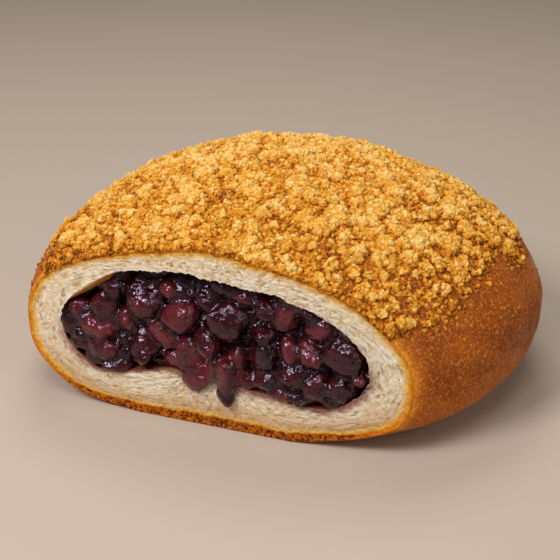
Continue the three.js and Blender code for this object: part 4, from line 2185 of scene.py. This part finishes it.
def net_quads(inside: NDArray[np.bool_], number: Faces) -> Faces:
    """A quad for each edge of the grid that leads in or out of the form.

    It lies between the four cells round the edge, and faces outwards.

    Args:
        inside: whether each place of the grid lies inside.
        number: each cell's vertex.

    Returns:
        The quads.
    """
    quads = []
    for axis in range(3):
        b, c = (axis + 1) % 3, (axis + 2) % 3
        inner = [slice(1, -1)] * 3
        inner[axis] = slice(None, -1)
        outer = [slice(1, -1)] * 3
        outer[axis] = slice(1, None)
        leaves = inside[tuple(inner)] & ~inside[tuple(outer)]
        enters = ~inside[tuple(inner)] & inside[tuple(outer)]
        for crossed, order in ((leaves, (0, 1, 2, 3)), (enters, (3, 2, 1, 0))):
            at = np.argwhere(crossed)
            at[:, [b, c]] += 1
            ring = []
            for db, dc in ((-1, -1), (0, -1), (0, 0), (-1, 0)):
                cell = at.copy()
                cell[:, b] += db
                cell[:, c] += dc
                ring.append(number[cell[:, 0], cell[:, 1], cell[:, 2]])
            quads.append(np.stack([ring[i] for i in order], axis=-1))
    return np.concatenate(quads)


# --- The studio ------------------------------------------------------------


@dataclass(frozen=True)
class Softbox:
    """A square lamp, at a place in the bun's frame, that faces the bun."""

    name: str
    x: float
    y: float
    z: float
    size: float
    watts: float
    colour: Colour


@dataclass
class Studio:
    """A plain pale floor, soft light, and the camera at the photograph's angle."""

    placement: Placement
    camera_place: tuple[float, float, float] = (75.84, -224.86, 141.51)
    camera_looks: tuple[float, float, float] = (-0.2869, 0.8429, -0.4553)
    focal_pixels: float = 1100.0
    image_pixels: float = 560.0
    sensor: float = 36.0
    nearest: float = 0.01
    floor_colour: Colour = srgb(184, 168, 152)
    floor_metres: float = 1.5
    floor_corners: int = 96
    floor_cloud: float = 1.05
    floor_dullness: float = 0.7
    aimed_at: tuple[float, float, float] = (0.0, 0.0, 25.0)
    sky: Colour = (1.0, 0.985, 0.96)
    sky_strength: float = 0.13
    lamps: tuple[Softbox, ...] = (
        Softbox("key", -210.0, -370.0, 460.0, 190.0, 2.6, (1.0, 0.98, 1.0)),
        Softbox("front", 70.0, -300.0, 560.0, 230.0, 1.15, (0.92, 0.95, 1.0)),
        Softbox("back", -90.0, 200.0, 500.0, 220.0, 0.85, (1.0, 0.94, 0.84)),
        Softbox("side", 380.0, -130.0, 230.0, 240.0, 0.35, (1.0, 0.95, 0.88)),
    )

    def build(self) -> None:
        """Makes the floor, the lamps, the sky and the camera."""
        self.make_floor()
        for lamp in self.lamps:
            self.make_lamp(lamp)
        self.make_sky()
        self.make_camera()

    def make_floor(self) -> None:
        """A wide flat disc under the bun."""
        turn = full_circle(self.floor_corners)[0]
        rim = np.stack([np.cos(turn), np.sin(turn), np.zeros_like(turn)], axis=-1)
        mesh = bpy.data.meshes.new("floor")
        face = list(range(self.floor_corners))
        mesh.from_pydata((self.floor_metres * rim).tolist(), [], [face])
        finish = Finish("pale_floor")
        cloud = finish.noise(finish.place(), 9.0, 4.0)
        pale = tuple(min(1.0, self.floor_cloud * share) for share in self.floor_colour)
        finish.set("Base Color", finish.mix(cloud, self.floor_colour, pale))
        finish.set("Roughness", self.floor_dullness)
        mesh.materials.append(finish.material)
        floor = bpy.data.objects.new("floor", mesh)
        bpy.context.scene.collection.objects.link(floor)

    def in_metres(self, place: tuple[float, float, float]) -> Vector:
        """A place of the bun's frame, in the scene."""
        return Vector(self.placement.metres(np.array(place)))

    def make_lamp(self, lamp: Softbox) -> None:
        """An area light, aimed at the bun's middle.

        Args:
            lamp: the lamp.
        """
        light = bpy.data.lights.new(lamp.name, "AREA")
        light.size = lamp.size * MM
        light.energy = lamp.watts
        light.color = lamp.colour
        holder = bpy.data.objects.new(lamp.name, light)
        holder.location = self.in_metres((lamp.x, lamp.y, lamp.z))
        aim = self.in_metres(self.aimed_at) - holder.location
        holder.rotation_euler = aim.to_track_quat("-Z", "Y").to_euler()
        bpy.context.scene.collection.objects.link(holder)

    def make_sky(self) -> None:
        """Even light from all round."""
        world = bpy.data.worlds.new("studio")
        world.use_nodes = True
        background = world.node_tree.nodes["Background"]
        background.inputs["Color"].default_value = (*self.sky, 1.0)
        background.inputs["Strength"].default_value = self.sky_strength
        bpy.context.scene.world = world

    def make_camera(self) -> None:
        """The camera, level, with the lens that the photograph's frame gives."""
        camera = bpy.data.cameras.new("camera")
        camera.sensor_width = self.sensor
        camera.lens = self.focal_pixels / self.image_pixels * self.sensor
        camera.clip_start = self.nearest
        holder = bpy.data.objects.new("camera", camera)
        holder.location = self.in_metres(self.camera_place)
        looks = Vector(self.camera_looks)
        holder.rotation_euler = looks.to_track_quat("-Z", "Y").to_euler()
        bpy.context.scene.collection.objects.link(holder)
        bpy.context.scene.camera = holder


def main() -> None:
    """Builds the bun and its studio, piece by piece."""
    logging.basicConfig(level=logging.INFO, format="%(name)s %(message)s")
    placement = Placement.from_frame()
    maker = MeshMaker(placement)
    Studio(placement).build()
    for part in (Bread(), Streusel(), Filling()):
        for piece in part.build(maker):
            mesh = piece.data
            log.info("%s: %d vertices, %d faces", piece.name, len(mesh.vertices), len(mesh.polygons))
    bpy.context.scene.view_settings.view_transform = "Standard"


if __name__ == "__main__":
    main()
